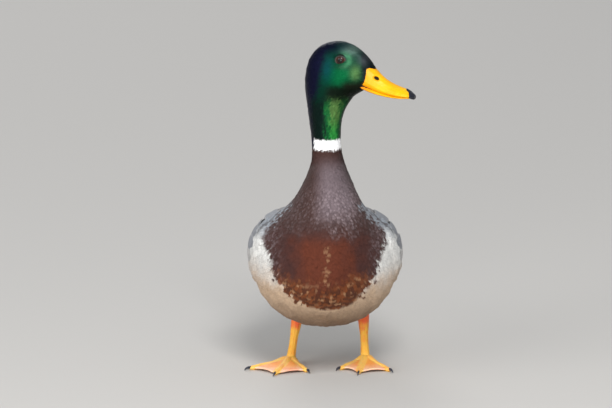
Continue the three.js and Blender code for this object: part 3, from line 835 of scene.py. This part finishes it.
def settled_spines(surface, roots, length, depth, rows):
    """Spines that follow the skin from each root, rising from it to the outside of the coat."""
    start, n0 = surface.settle(roots)
    bend = rng.normal(0, 0.1, (len(roots), 1))
    way = lie(start, n0)
    way = unit(way + np.cross(n0, way) * bend)
    middle, n1 = surface.settle(start + way * length[:, None] / 2)
    way = lie(middle, n1)
    way = unit(way + np.cross(n1, way) * bend)
    end, n2 = surface.settle(middle + way * length[:, None] / 2)
    t = np.linspace(0, 1, rows)[None, :, None]
    spine = through(t, (start[:, None], middle[:, None], end[:, None]))
    normal = unit(through(t, (n0[:, None], n1[:, None], n2[:, None])))
    rise = (1 - (1 - t) ** 2) * depth[:, None, None]
    return spine + normal * rise, normal, start


# Half width at each row of a small feather, for each number of rows, as a share of its greatest.
LEAF = {3: np.array([0.6, 1.0, 0.75]), 4: np.array([0.5, 0.95, 1.0, 0.72]),
        5: np.array([0.45, 0.85, 1.0, 0.97, 0.72])}


def small_feathers(surface, roots, rows, columns, teeth=0.2, jitter=0.5):
    """Covers a region with small feathers, marked by where they lie."""
    number = len(roots)
    length, width, _, _ = coat_sizes(roots)
    length = length * rng.uniform(0.82, 1.18, number)
    width = width * rng.uniform(0.85, 1.15, number)
    depth = small_depth(roots) * rng.uniform(0.8, 1.08, number)
    spine, normal, start = settled_spines(surface, roots, length, depth, rows)
    shifts = np.repeat(rng.normal(0, jitter, number), rows)
    marks = [value.reshape(number, rows, -1) for value in markings(spine.reshape(-1, 3), shifts)]
    tint = marks[0] * rng.uniform(0.93, 1.07, (number, 1, 1))
    wave, gloss, fringe = (value[:, -1, 0] for value in marks[1:])
    shaded = tint * np.linspace(0.8, 1.04, rows)[None, :, None]
    shaded[:, -1] = mix(shaded[:, -1], SILVER, fringe * rng.uniform(0.0, 1.0, number) ** 1.5)
    feathers = Feathers()
    feathers.add(spine, normal, width, LEAF[rows], 0.16, columns, shaded, wave, gloss, start, teeth=teeth,
                 roll=rng.normal(0, 0.07, number), softness=0.75)
    return feathers


def coat_regions(surface, bill):
    """Small feathers over the whole skin, in pieces of moderate size."""
    middle = surface.places[surface.faces].mean(1)
    station, _ = along_body(middle)
    spacing = coat_sizes(middle)[2]
    clear = np.ones(len(middle), bool)
    for side in SIDES.values():
        centre, axes = eye_frame(side)
        local = (middle - centre) @ axes.T / LID_SHAPE
        clear &= (np.hypot(local[:, 0], local[:, 1]) > LID_RADIUS + 0.1) | (local[:, 2] < -5)
    feathered = behind_feather_line(middle)
    for number in np.where(station > 17.5)[0]:
        place, normal, _, distance = bill.find_nearest(middle[number])
        outside = (Vector(middle[number]) - place).dot(normal) > 0
        if not outside or (distance < 0.55 and not feathered[number]):
            clear[number] = False
    # Each region's first and last station, rows and columns of its feathers, its finish and its slot.
    for name, first, last, rows, columns, material, slot, options in (
        ("head_coat", 16.2, 99, 3, 3, HEAD_PLUMAGE, "head_plumage", {"teeth": 0.3, "jitter": 0.25}),
        ("neck_coat", 12.2, 16.2, 4, 3, HEAD_PLUMAGE, "neck_plumage", {"teeth": 0.3, "jitter": 0.35}),
        ("breast_coat", 7.4, 12.2, 4, 4, BODY_PLUMAGE, "body_plumage", {"teeth": 0.26}),
        ("fore_coat", 5, 7.4, 5, 4, BODY_PLUMAGE, "body_plumage", {}),
        ("flank_coat", 2.4, 5, 5, 5, BODY_PLUMAGE, "body_plumage", {}),
        ("rump_coat", -1, 2.4, 5, 5, BODY_PLUMAGE, "body_plumage", {}),
    ):
        inside = (station > first) & (station <= last) & clear
        roots = spaced(surface, np.where(inside)[0], spacing)
        small_feathers(surface, roots, rows, columns, **options).finish(name, material, slot)


# ---- long feathers of the back, wing and tail ----
STEPS = 1 - (1 - np.linspace(0, 1, 10)) ** 1.5  # rows crowd towards a long feather's tip
TRUNK_LINE = MIDLINE[:9]
# Rows of shoulder feathers: angle down from the back, length, width, lift and how many.
SCAPULAR_ROWS = ((76, 30, 15, 0.7, 4), (64, 34, 15, 0.8, 8), (52, 38, 16, 1.1, 8), (40, 42, 16, 1.4, 8),
                 (28, 40, 15, 1.6, 8))
# Rows of long flank feathers: where the first stands, angle, length, width and lift.
FLANK_ROWS = ((14, 112, 30, 15, 0.2), (9, 100, 34, 16, 0.5), (14, 89, 36, 16, 0.8))
FLANKS_IN_ROW = 10
# The four long inner wing feathers: angle down from the back, tip (side, forward, up) and width.
TERTIALS = ((58, (35, -140, 138), 21), (51, (30, -149, 141.5), 21), (44, (24.5, -153, 144.5), 20),
            (37, (18, -146, 148), 18))
SECONDARIES = 8  # and as many coverts over them
SINK = np.array([0.1, 0.2, 0.22])  # how much lower each next one lies, at root, middle and tip
PRIMARIES, PRIMARY_ROOT, PRIMARY_LENGTH = 7, 92, 108
TAIL_FEATHERS, TAIL_ROOT, TAIL_LENGTH = 16, 158, 88
CURL_BACK, CURL_UP, CURL_RADIUS = 181, 151, 13.5  # the middle and first radius of the tail's curls


def outline(steps, root, taper_from):
    """Half width along a long feather with a rounded tip, as a share of its greatest."""
    end = np.clip((steps - taper_from) / (1.01 - taper_from), 0, 1)
    return (root + (1 - root) * smooth(0, 0.35, steps)) * np.sqrt(np.clip(1 - end ** 2, 0.03, 1))


def on_body(side, forward, angle):
    """Where the skin lies at a place along the trunk, and an angle down from its top."""
    middle = np.array([0, -forward, np.interp(forward, TRUNK_LINE[:, 0], TRUNK_LINE[:, 1])])
    turn = math.radians(angle)
    way = np.array([side * math.sin(turn), 0, math.cos(turn)])
    return skin.cast(middle + way * 150, middle)


def quill(places, normals):
    """A smooth spine and its normals through a root, a middle and a tip."""
    return through(STEPS[:, None], places), unit(through(STEPS[:, None], normals))


def lying(side, forward, angle, length, turn, rise):
    """A spine lying back along the body, at heights above the skin given for root, middle and tip."""
    places, normals = [], []
    for share, height in zip((0, 0.5, 1), rise):
        place, normal = on_body(side, forward - length * share, angle + turn * share)
        places.append(place + normal * height)
        normals.append(normal)
    return quill(places, normals)


def one_behind_another(side, number, start, step, angle, length, grow, turn, rise):
    """A row of lying spines, each a step further back and a little longer."""
    return [
        lying(side, start - step * k, angle + rng.normal(0, 1.2), length + grow * k, turn, rise)
        for k in range(number)
    ]


def add_long(feathers, quills, widths, paint, wave=0.0, gloss=0.0, columns=9, cup=0.14, taper_from=0.68,
             root=0.4, steps=STEPS, roll=0.0):
    """Adds long feathers; paint gives colours from the feather's number, its rows and its columns."""
    number = len(quills)
    spine, normal = (np.array(part) for part in zip(*quills))
    rows, across = np.meshgrid(steps, np.linspace(-1, 1, columns), indexing="ij")
    tints = np.array([np.broadcast_to(paint(i, rows, across), rows.shape + (3,)) for i in range(number)])
    tints = tints * rng.uniform(0.93, 1.07, (number, 1, 1, 1))
    # painted shade: each feather darker towards its root, where the feathers over it cover it
    tints = tints * (0.8 + 0.2 * smooth(0, 0.4, rows))[None, ..., None]
    feathers.add(spine, normal, np.ones(number) * widths, outline(steps, root, taper_from), cup, columns,
                 tints, wave, gloss, spine[:, 0], teeth=0.025, roll=roll + rng.normal(0, 0.03, number),
                 softness=0.4, steps=steps)


def rimmed(middle, rim, start=0.72):
    """A feather with a paler or darker rim round its vane."""
    def paint(_, rows, across):
        return mix(middle, rim, smooth(start, 1.0, np.maximum(np.abs(across), smooth(0.8, 1.0, rows))))
    return paint


def make_back_and_flanks():
    grey, pale, dusk = srgb(142, 144, 149), srgb(178, 179, 181), srgb(122, 112, 104)
    flank = rimmed(srgb(196, 193, 190), srgb(222, 220, 217))
    feathers = Feathers()
    for side in SIDES.values():
        for row, (angle, length, width, lift, number) in enumerate(SCAPULAR_ROWS):
            rise = (0.5 + lift, 2.2 + lift, 2.9 + lift)
            quills = one_behind_another(side, number, 16 - 4 * (row % 2), 10.5, angle, length, 2.6, -3, rise)
            paint = rimmed(mix(grey, dusk, max(0.0, (row - 2) * 0.4)), mix(pale, dusk, row * 0.16))
            add_long(feathers, quills, width, paint, wave=1.0 - 0.2 * row)
        for start, angle, length, width, lift in FLANK_ROWS:
            rise = (0.6 + lift, 2.2 + lift, 2.7 + lift)
            quills = one_behind_another(side, FLANKS_IN_ROW, start, 11, angle, length, 1.2, -5, rise)
            add_long(feathers, quills, width, flank, wave=1.0)
    feathers.finish("back_and_flanks", LONG_PLUMAGE, "wing_plumage")


def make_wings():
    brown, edge = srgb(112, 100, 90), srgb(150, 138, 126)
    black, white, blue, violet = srgb(14, 14, 18), srgb(236, 236, 234), srgb(28, 52, 150), srgb(70, 40, 132)

    def secondary(number, rows, _):
        """A blue and violet patch between black and white bars."""
        sheen = mix(blue, violet, smooth(0.5, 0.75, rows + 0.05 * number) * 0.5)
        return layered(brown, (sheen, smooth(0.3, 0.38, rows)), (black, smooth(0.85, 0.88, rows)),
                       (white, smooth(0.93, 0.955, rows)))

    def covert(number, rows, _):
        """A white and a black bar, but not on the upper ones, which the shoulder feathers cover."""
        low = smooth(5, 3, number)
        return layered(brown, (white, smooth(0.74, 0.78, rows) * low),
                       (black, smooth(0.88, 0.92, rows) * low))

    feathers = Feathers()
    for side in SIDES.values():
        for forward, fan, length, shorter, rise, width, paint, gloss in (
            (-40, 3.4, 68, 1.5, (1.0, 2.6, 2.9), 16, secondary, 0.6),
            (-14, 3.5, 52, 1.0, (1.4, 3.0, 3.4), 14, covert, 0.0),
        ):
            quills = [
                lying(side, forward, 60 + fan * k, length - shorter * k, 1.5, np.subtract(rise, SINK * k))
                for k in reversed(range(SECONDARIES))
            ]
            add_long(feathers, quills, width, paint, gloss=gloss)
        quills = []
        for number, (angle, tip, _) in enumerate(TERTIALS):
            root, n0 = on_body(side, -46 - 4 * number, angle)
            middle, n1 = on_body(side, -96, angle - 4)
            end = np.array([side * tip[0], -tip[1], tip[2]])
            lift = 0.5 * number
            tilt = unit(np.array([side * 0.45, 0, 0.9]))
            quills.append(quill([root + n0 * (1.6 + lift), middle + n1 * (3.4 + lift), end], [n0, n1, tilt]))
        add_long(feathers, quills, [width for _, _, width in TERTIALS], rimmed(brown, edge, 0.8), columns=11)
    feathers.finish("wing_feathers", LONG_PLUMAGE, "wing_plumage")

    feathers = Feathers()
    for side in SIDES.values():
        quills = []
        for number in range(PRIMARIES):
            t = (STEPS * (1 - 0.1 * number))[:, None]
            tilt = np.radians(48 - 26 * t)
            shift = (3.5 - 1.3 * number) * (1 - 0.7 * t)
            x = 45 - 31 * t ** 0.8 + shift * np.cos(tilt)
            up = 148 - 15 * t - 3 * np.sin(math.pi * t) - shift * np.sin(tilt) + 0.45 * number - 1.2
            quills.append((np.concatenate([side * x, PRIMARY_ROOT + PRIMARY_LENGTH * t, up], 1),
                           np.concatenate([side * np.sin(tilt), 0 * t, np.cos(tilt)], 1)))
        add_long(feathers, quills, 12.5, rimmed(srgb(88, 78, 70), srgb(132, 120, 108), 0.8),
                 taper_from=0.5, root=0.8)
    feathers.finish("wing_tips", LONG_PLUMAGE, "wing_plumage", ["wing_tip_left", "wing_tip_right"])


def make_tail():
    """A fan of pale feathers, the middle ones uppermost."""
    order = sorted(np.linspace(-1, 1, TAIL_FEATHERS), key=lambda u: -abs(u))
    t = STEPS[:, None]
    quills = []
    for number, u in enumerate(order):
        half = 17 + 20 * np.sin(t * math.pi / 2) ** 0.8
        reach = TAIL_LENGTH * t * (1 - 0.3 * u * u)
        up = 117.5 - 4.5 * t - 7 * u * u * (0.3 + 0.7 * t) + 0.2 * number - 1.6
        spine = np.concatenate([half * u, TAIL_ROOT + reach, up], 1)
        quills.append((spine, np.tile(unit(np.array([0.35 * u, 0.05, 1.0])), (len(STEPS), 1))))

    def paint(number, rows, across):
        centre = smooth(0.75, 0.3, np.abs(across)) * smooth(1.0, 0.8, rows)
        share = 0.5 + 0.45 * (1 - abs(order[number]))
        return mix(srgb(226, 220, 210), srgb(118, 104, 92), centre * share)

    feathers = Feathers()
    add_long(feathers, quills, 15, paint, cup=0.08)
    feathers.finish("tail_feathers", LONG_PLUMAGE, "tail_plumage", ["tail"])


def make_curls():
    """Three curled feathers on each side, rolling up and forwards over the tail."""
    quills, widths, rolls = [], [], []
    angle = np.linspace(-0.9, 4.7, 30)
    curled = angle > 0
    stem = -angle / 0.9  # how far down the straight stem each row lies, from 0 to 1
    for side in SIDES.values():
        for scale, roll in ((1.0, 0.75), (0.8, 0.55), (0.6, 0.9)):
            radius = np.interp(angle, [0, 4.6], [CURL_RADIUS, 8.5]) * scale
            sunk = CURL_RADIUS * (1 - scale)
            back = np.where(curled, CURL_BACK + radius * np.sin(angle), CURL_BACK - 36 * stem)
            up = np.where(curled, CURL_UP - radius * np.cos(angle) - sunk, 137.5 - 6 * stem)
            straight = np.stack([0 * angle, back, up], 1)
            centre = np.array([0, CURL_BACK, CURL_UP - sunk])
            inward = unit(np.where(curled[:, None], centre - straight, np.array([0, 0, 1.0])))
            turn = np.float64(-side * math.radians(5.0))
            moved = spin(straight, turn) + np.array([side * -8, 0 if side > 0 else 2.5, 0])
            quills.append((moved, spin(inward, turn)))
            widths.append(8.5 * scale)
            rolls.append(side * roll)
    feathers = Feathers()
    add_long(feathers, quills, widths, rimmed(srgb(12, 16, 18), srgb(20, 30, 30)), gloss=0.3, columns=7,
             taper_from=0.6, steps=np.linspace(0, 1, len(angle)), roll=np.array(rolls), cup=0.3)
    feathers.finish("curls", LONG_PLUMAGE, "curl_plumage", ["curl_left", "curl_right"])


# ---- bill, eyes, legs and claws ----
def painted(colour, places):
    """One colour for every place."""
    return np.tile(srgb(*colour), (len(places), 1))


def head_side():
    """The way to the bird's left on its turned head."""
    return np.array([math.cos(HEAD_TURN), math.sin(HEAD_TURN), 0.0])


def upper_bill():
    """The upper bill with its nostrils pressed in and painted dark as painted shade."""
    places, faces = remeshed("bill_upper", ["bill_upper", "bill_nail"], 0.25, BILL_VOXEL, 60)
    ahead, side, up = head_parts(places)
    a, b = ahead - NOSTRIL[0], up - NOSTRIL[1]
    c, s = math.cos(NOSTRIL_SLOPE), math.sin(NOSTRIL_SLOPE)
    away = np.hypot((a * c + b * s) / NOSTRIL_LONG, (b * c - a * s) / NOSTRIL_TALL)
    hole = smooth(1.25, 0.5, away) * (np.abs(side) > 3)
    places = places - np.sign(side)[:, None] * head_side() * hole[:, None] * NOSTRIL_DEEP
    blush = smooth(0.42, 0.75, noise(places, 8.0)) * smooth(322, 312, up) * smooth(86, 74, ahead)
    tint = layered(
        srgb(246, 180, 0),
        (srgb(240, 150, 2), np.clip(smooth(68, 46, ahead) * 0.65 + blush * 0.4, 0, 1)),
        (srgb(150, 128, 24), smooth(5, 1, np.abs(side)) * smooth(320, 326, up) * 0.2),  # along the ridge
        # the nostrils, painted dark as painted shade in their hollows
        (srgb(26, 20, 12), smooth(0.35, 0.8, hole)),
    )
    build("bill_upper", places, [faces], BILL_HORN, ["bill_upper"], tint, {"Dull": hole})
    return places, faces


def feather_bill_root(places, faces):
    """Tiny dark feathers over the bill's root."""
    surface = Surface(places, faces)
    keep = behind_feather_line(places[faces].mean(1))
    roots = spaced(surface, np.where(keep)[0], np.full(len(faces), 0.6))
    small_feathers(surface, roots, 3, 3, teeth=0.3, jitter=0.2).finish(
        "bill_root_feathers", HEAD_PLUMAGE, "head_plumage")


def bill_nail(places, faces):
    """A shield of dark horn that lies on the bill's tip and sinks into it at its edges."""
    ahead, side, up = head_parts(places)
    behind = np.minimum(ahead - NAIL_WIDEST, 0) / NAIL_LENGTH
    half = NAIL_HALF_WIDTH * np.sqrt(np.clip(1 - behind ** 2, 0, 1))
    hook = smooth(*NAIL_HOOK, ahead)
    inside = np.minimum(half + 5 * hook - np.abs(side), up - NAIL_LOWEST + 4 * hook)
    faces = faces[(inside[faces] > 0).all(1)]
    used, own = np.unique(faces, return_inverse=True)
    own = own.reshape(-1, 4)
    normals = vertex_normals(places, faces)[used]
    height = -0.3 + 0.7 * smooth(0, 1.0, inside[used])
    both = np.concatenate([places[used] + normals * height[:, None], places[used] - normals * 0.31])
    closed = np.concatenate([own, own[:, ::-1] + len(used)])
    build("bill_nail", both, [closed], NAIL_HORN, ["bill_nail"], painted((22, 24, 34), both))


def lower_bill():
    places, faces = remeshed("bill_lower", ["bill_lower"], 0.12, BILL_VOXEL, 40)
    ahead, _, _ = head_parts(places)
    tint = mix(srgb(240, 172, 6), srgb(230, 140, 14), smooth(60, 42, ahead))
    build("bill_lower", places, [faces], BILL_HORN, ["bill_lower"], tint)


def arrays_of(shape):
    """A small bmesh as places, quads and triangles."""
    shape.verts.index_update()
    places = np.array([tuple(vertex.co) for vertex in shape.verts])
    faces = [[vertex.index for vertex in face.verts] for face in shape.faces]
    shape.free()
    return places, *(np.array([face for face in faces if len(face) == corners]) for corners in (4, 3))


def ball_arrays(radius):
    ball = bmesh.new()
    bmesh.ops.create_uvsphere(ball, u_segments=48, v_segments=32, radius=radius)
    return arrays_of(ball)


def ring_arrays(major, minor):
    """A ring in the plane across its own z axis."""
    tube = bmesh.new()
    place = Matrix.Translation((major, 0, 0)) @ Matrix.Rotation(math.pi / 2, 4, "X")
    bmesh.ops.create_circle(tube, segments=12, radius=minor, matrix=place)
    bmesh.ops.spin(tube, geom=tube.verts[:] + tube.edges[:], cent=(0, 0, 0), axis=(0, 0, 1),
                   angle=2 * math.pi, steps=56, use_merge=True)
    bmesh.ops.remove_doubles(tube, verts=tube.verts, dist=1e-4)
    bmesh.ops.recalc_face_normals(tube, faces=tube.faces)
    return arrays_of(tube)


def eye_frame(side):
    """The eye's centre, and its own axes: forwards and up along the face, and outwards."""
    centre = head_place(EYE_FORWARD, side * EYE_SIDE, EYE_HEIGHT)
    sideways = head_side() * side
    _, out = skin.settle(np.array([centre + sideways * 4]))
    out = unit(out[0] + sideways)
    up = unit(np.array([0, 0, 1.0]) - out * out[2])
    return centre, np.stack([np.cross(up, out), up, out])


def make_eyes():
    for name, side in SIDES.items():
        centre, axes = eye_frame(side)
        ball, quads, tips = ball_arrays(EYE_RADIUS - 0.1)
        away = np.hypot(ball[:, 0], ball[:, 1])
        iris = layered(srgb(8, 5, 5), (srgb(50, 22, 14), smooth(2.4, 2.9, away)),
                       (srgb(14, 8, 8), smooth(3.9, 4.5, away)))
        build(f"eye_{name}", ball @ axes + centre, [quads, tips], WET_EYE, [f"eye_{name}"], iris)
        for part, major, minor, lift, colour in (
            ("lid", LID_RADIUS, 0.85, 3.4, (30, 38, 32)),
            ("lid_edge", LID_RADIUS - 0.6, 0.3, 4.1, (92, 62, 50)),
        ):
            ring, quads, _ = ring_arrays(major, minor)
            ring = ring * LID_SHAPE + np.array([0, 0, lift])
            ring[:, 2] -= 0.02 * ring[:, 0] ** 2
            build(f"{part}_{name}", ring @ axes + centre, [quads], LID_SKIN, (),
                  painted(colour, ring))


# Where each foot stands, and each front toe's heading (degrees to the left of ahead) and length.
FEET = {
    "right": ((-35.5, -30.0), ((-58, 49.5), (-16.8, 55.5), (24, 42.5))),
    "left": ((42.0, -37.0), ((30, 49.5), (-7.7, 55.5), (-38, 43.5))),
}


def from_toes(places, foot):
    """How far each place lies from the nearest front toe's middle line, seen from above."""
    (x, forward), toes = FEET[foot]
    flat = np.stack([places[:, 0] - x, -places[:, 1] - forward], 1)
    least = np.full(len(places), 99.0)
    for heading, length in toes:
        way = np.array([math.sin(math.radians(heading)), math.cos(math.radians(heading))])
        along = np.clip(flat @ way, 0, length)
        least = np.minimum(least, np.linalg.norm(flat - along[:, None] * way, axis=1))
    return least


def leg_tints(places, foot):
    """Amber shins and toes, redder ankles and joints, and pinkish webs."""
    orange, red = srgb(255, 152, 42), srgb(240, 92, 44)
    up = places[:, 2]
    grain = noise(places, 4.0)
    web = smooth(3.0, 5.0, from_toes(places, foot)) * smooth(9.5, 7.5, up)
    return layered(
        srgb(255, 190, 62),
        (orange, smooth(0.45, 0.75, grain) * 0.6),
        (srgb(255, 202, 104), smooth(14, 7, up) * 0.7),  # toes, paler: partly their own amber and partly painted light from the low front
        (red, smooth(32, 46, up + 8 * (grain - 0.5)) * 0.9),  # ankle
        (mix(srgb(255, 206, 184), orange, smooth(3.2, 6.2, up)), web * 0.85),
        (red, smooth(0.62, 0.8, noise(places + 9, 7.0)) * smooth(12, 6, up) * 0.3),
    )


def make_legs():
    for name in SIDES:
        nodes = [f"tarsus_{name}", f"foot_{name}", f"hind_toe_{name}"]
        places, faces = remeshed(f"leg_{name}", nodes, 0.2, LEG_VOXEL)
        level = places[:, 2] < 0.25
        places = softened(places, faces, 7)
        places[:, 2] = np.where(level, 0.0, np.maximum(places[:, 2], 0.0))
        build(f"leg_{name}", places, [faces], LEG_SKIN, nodes, leg_tints(places, name))
        for toe in ("inner", "middle", "outer", "hind"):
            node = f"claw_{toe}_{name}"
            places, faces = remeshed(node, [node], 0.1, CLAW_VOXEL, 5)
            places[:, 2] = np.maximum(places[:, 2], 0.0)
            build(node, places, [faces], NAIL_HORN, [node], painted((46, 48, 58), places))


# ---- studio ----
AIM = (-19.6, 30.0, 169.5)  # what the camera looks at, in the bird's frame
CAMERA_DISTANCE = 15000.0
CAMERA_RISE = math.asin(0.2)
VIEW_WIDTH = 630.4


def make_studio():
    bpy.ops.mesh.primitive_plane_add(size=14)
    floor = bpy.context.object
    floor.name = "floor"
    material, w, shader = start_material("Pale floor")
    w.feed(shader, Base_Color=(0.56, 0.54, 0.51, 1), Roughness=0.9)
    floor.data.materials.append(material)

    bpy.context.scene.view_settings.view_transform = "Standard"
    world = bpy.data.worlds.new("Studio")
    bpy.context.scene.world = world
    world.use_nodes = True
    world.node_tree.nodes["Background"].inputs[0].default_value = (0.80, 0.84, 0.90, 1)
    world.node_tree.nodes["Background"].inputs[1].default_value = 0.45
    aim = Vector(to_frame(AIM))
    for name, place, size, power in (
        ("Key", (0.4, -3.2, 2.8), 1.2, 128),
        ("Fill", (-3.0, -2.4, 1.6), 2.5, 55),
        ("Back", (-0.8, 3.0, 2.4), 1.5, 30),
        ("Low", (-0.4, -3.2, 0.4), 0.8, 36),
    ):
        lamp = bpy.data.lights.new(name, "AREA")
        lamp.size = size
        lamp.energy = power
        made = bpy.data.objects.new(name, lamp)
        bpy.context.scene.collection.objects.link(made)
        made.location = place
        made.rotation_euler = (aim - Vector(place)).to_track_quat("-Z", "Y").to_euler()

    lens = bpy.data.cameras.new("Camera")
    lens.sensor_width = 36
    lens.lens = 36 * CAMERA_DISTANCE / VIEW_WIDTH
    lens.clip_end = 100
    camera = bpy.data.objects.new("Camera", lens)
    bpy.context.scene.collection.objects.link(camera)
    back = Vector((0, -math.cos(CAMERA_RISE), math.sin(CAMERA_RISE)))
    camera.location = aim + back * CAMERA_DISTANCE * MM
    camera.rotation_euler = (-back).to_track_quat("-Z", "Y").to_euler()
    bpy.context.scene.camera = camera


HEAD_PLUMAGE = plumage_material("Glossy plumage", 0.62, 0.3, 0.45, 0.55, shine=0.08, sheen=0.0)
BODY_PLUMAGE = plumage_material("Soft plumage", 0.78, 0.5, 0.5)
LONG_PLUMAGE = plumage_material("Flight plumage", 0.66, 0.5, 0.6, 0.4)
BILL_HORN = horn_material("Bill horn", 0.42, 2.5, 0.12, shine=0.25)
NAIL_HORN = horn_material("Dark horn", 0.3, 1.2, 0.1)
LID_SKIN = horn_material("Lid skin", 0.5, 0.5, 0.4)
LEG_SKIN = horn_material("Leg skin", 0.42, 0.7, 0.3, plate_size=1.5)
WET_EYE = eye_material()

skin = make_skin()
show_skin()
coat_regions(skin, bill_tree())
make_back_and_flanks()
make_wings()
make_tail()
make_curls()
upper_surface = upper_bill()
bill_nail(*upper_surface)
feather_bill_root(*upper_surface)
lower_bill()
make_eyes()
make_legs()
make_studio()
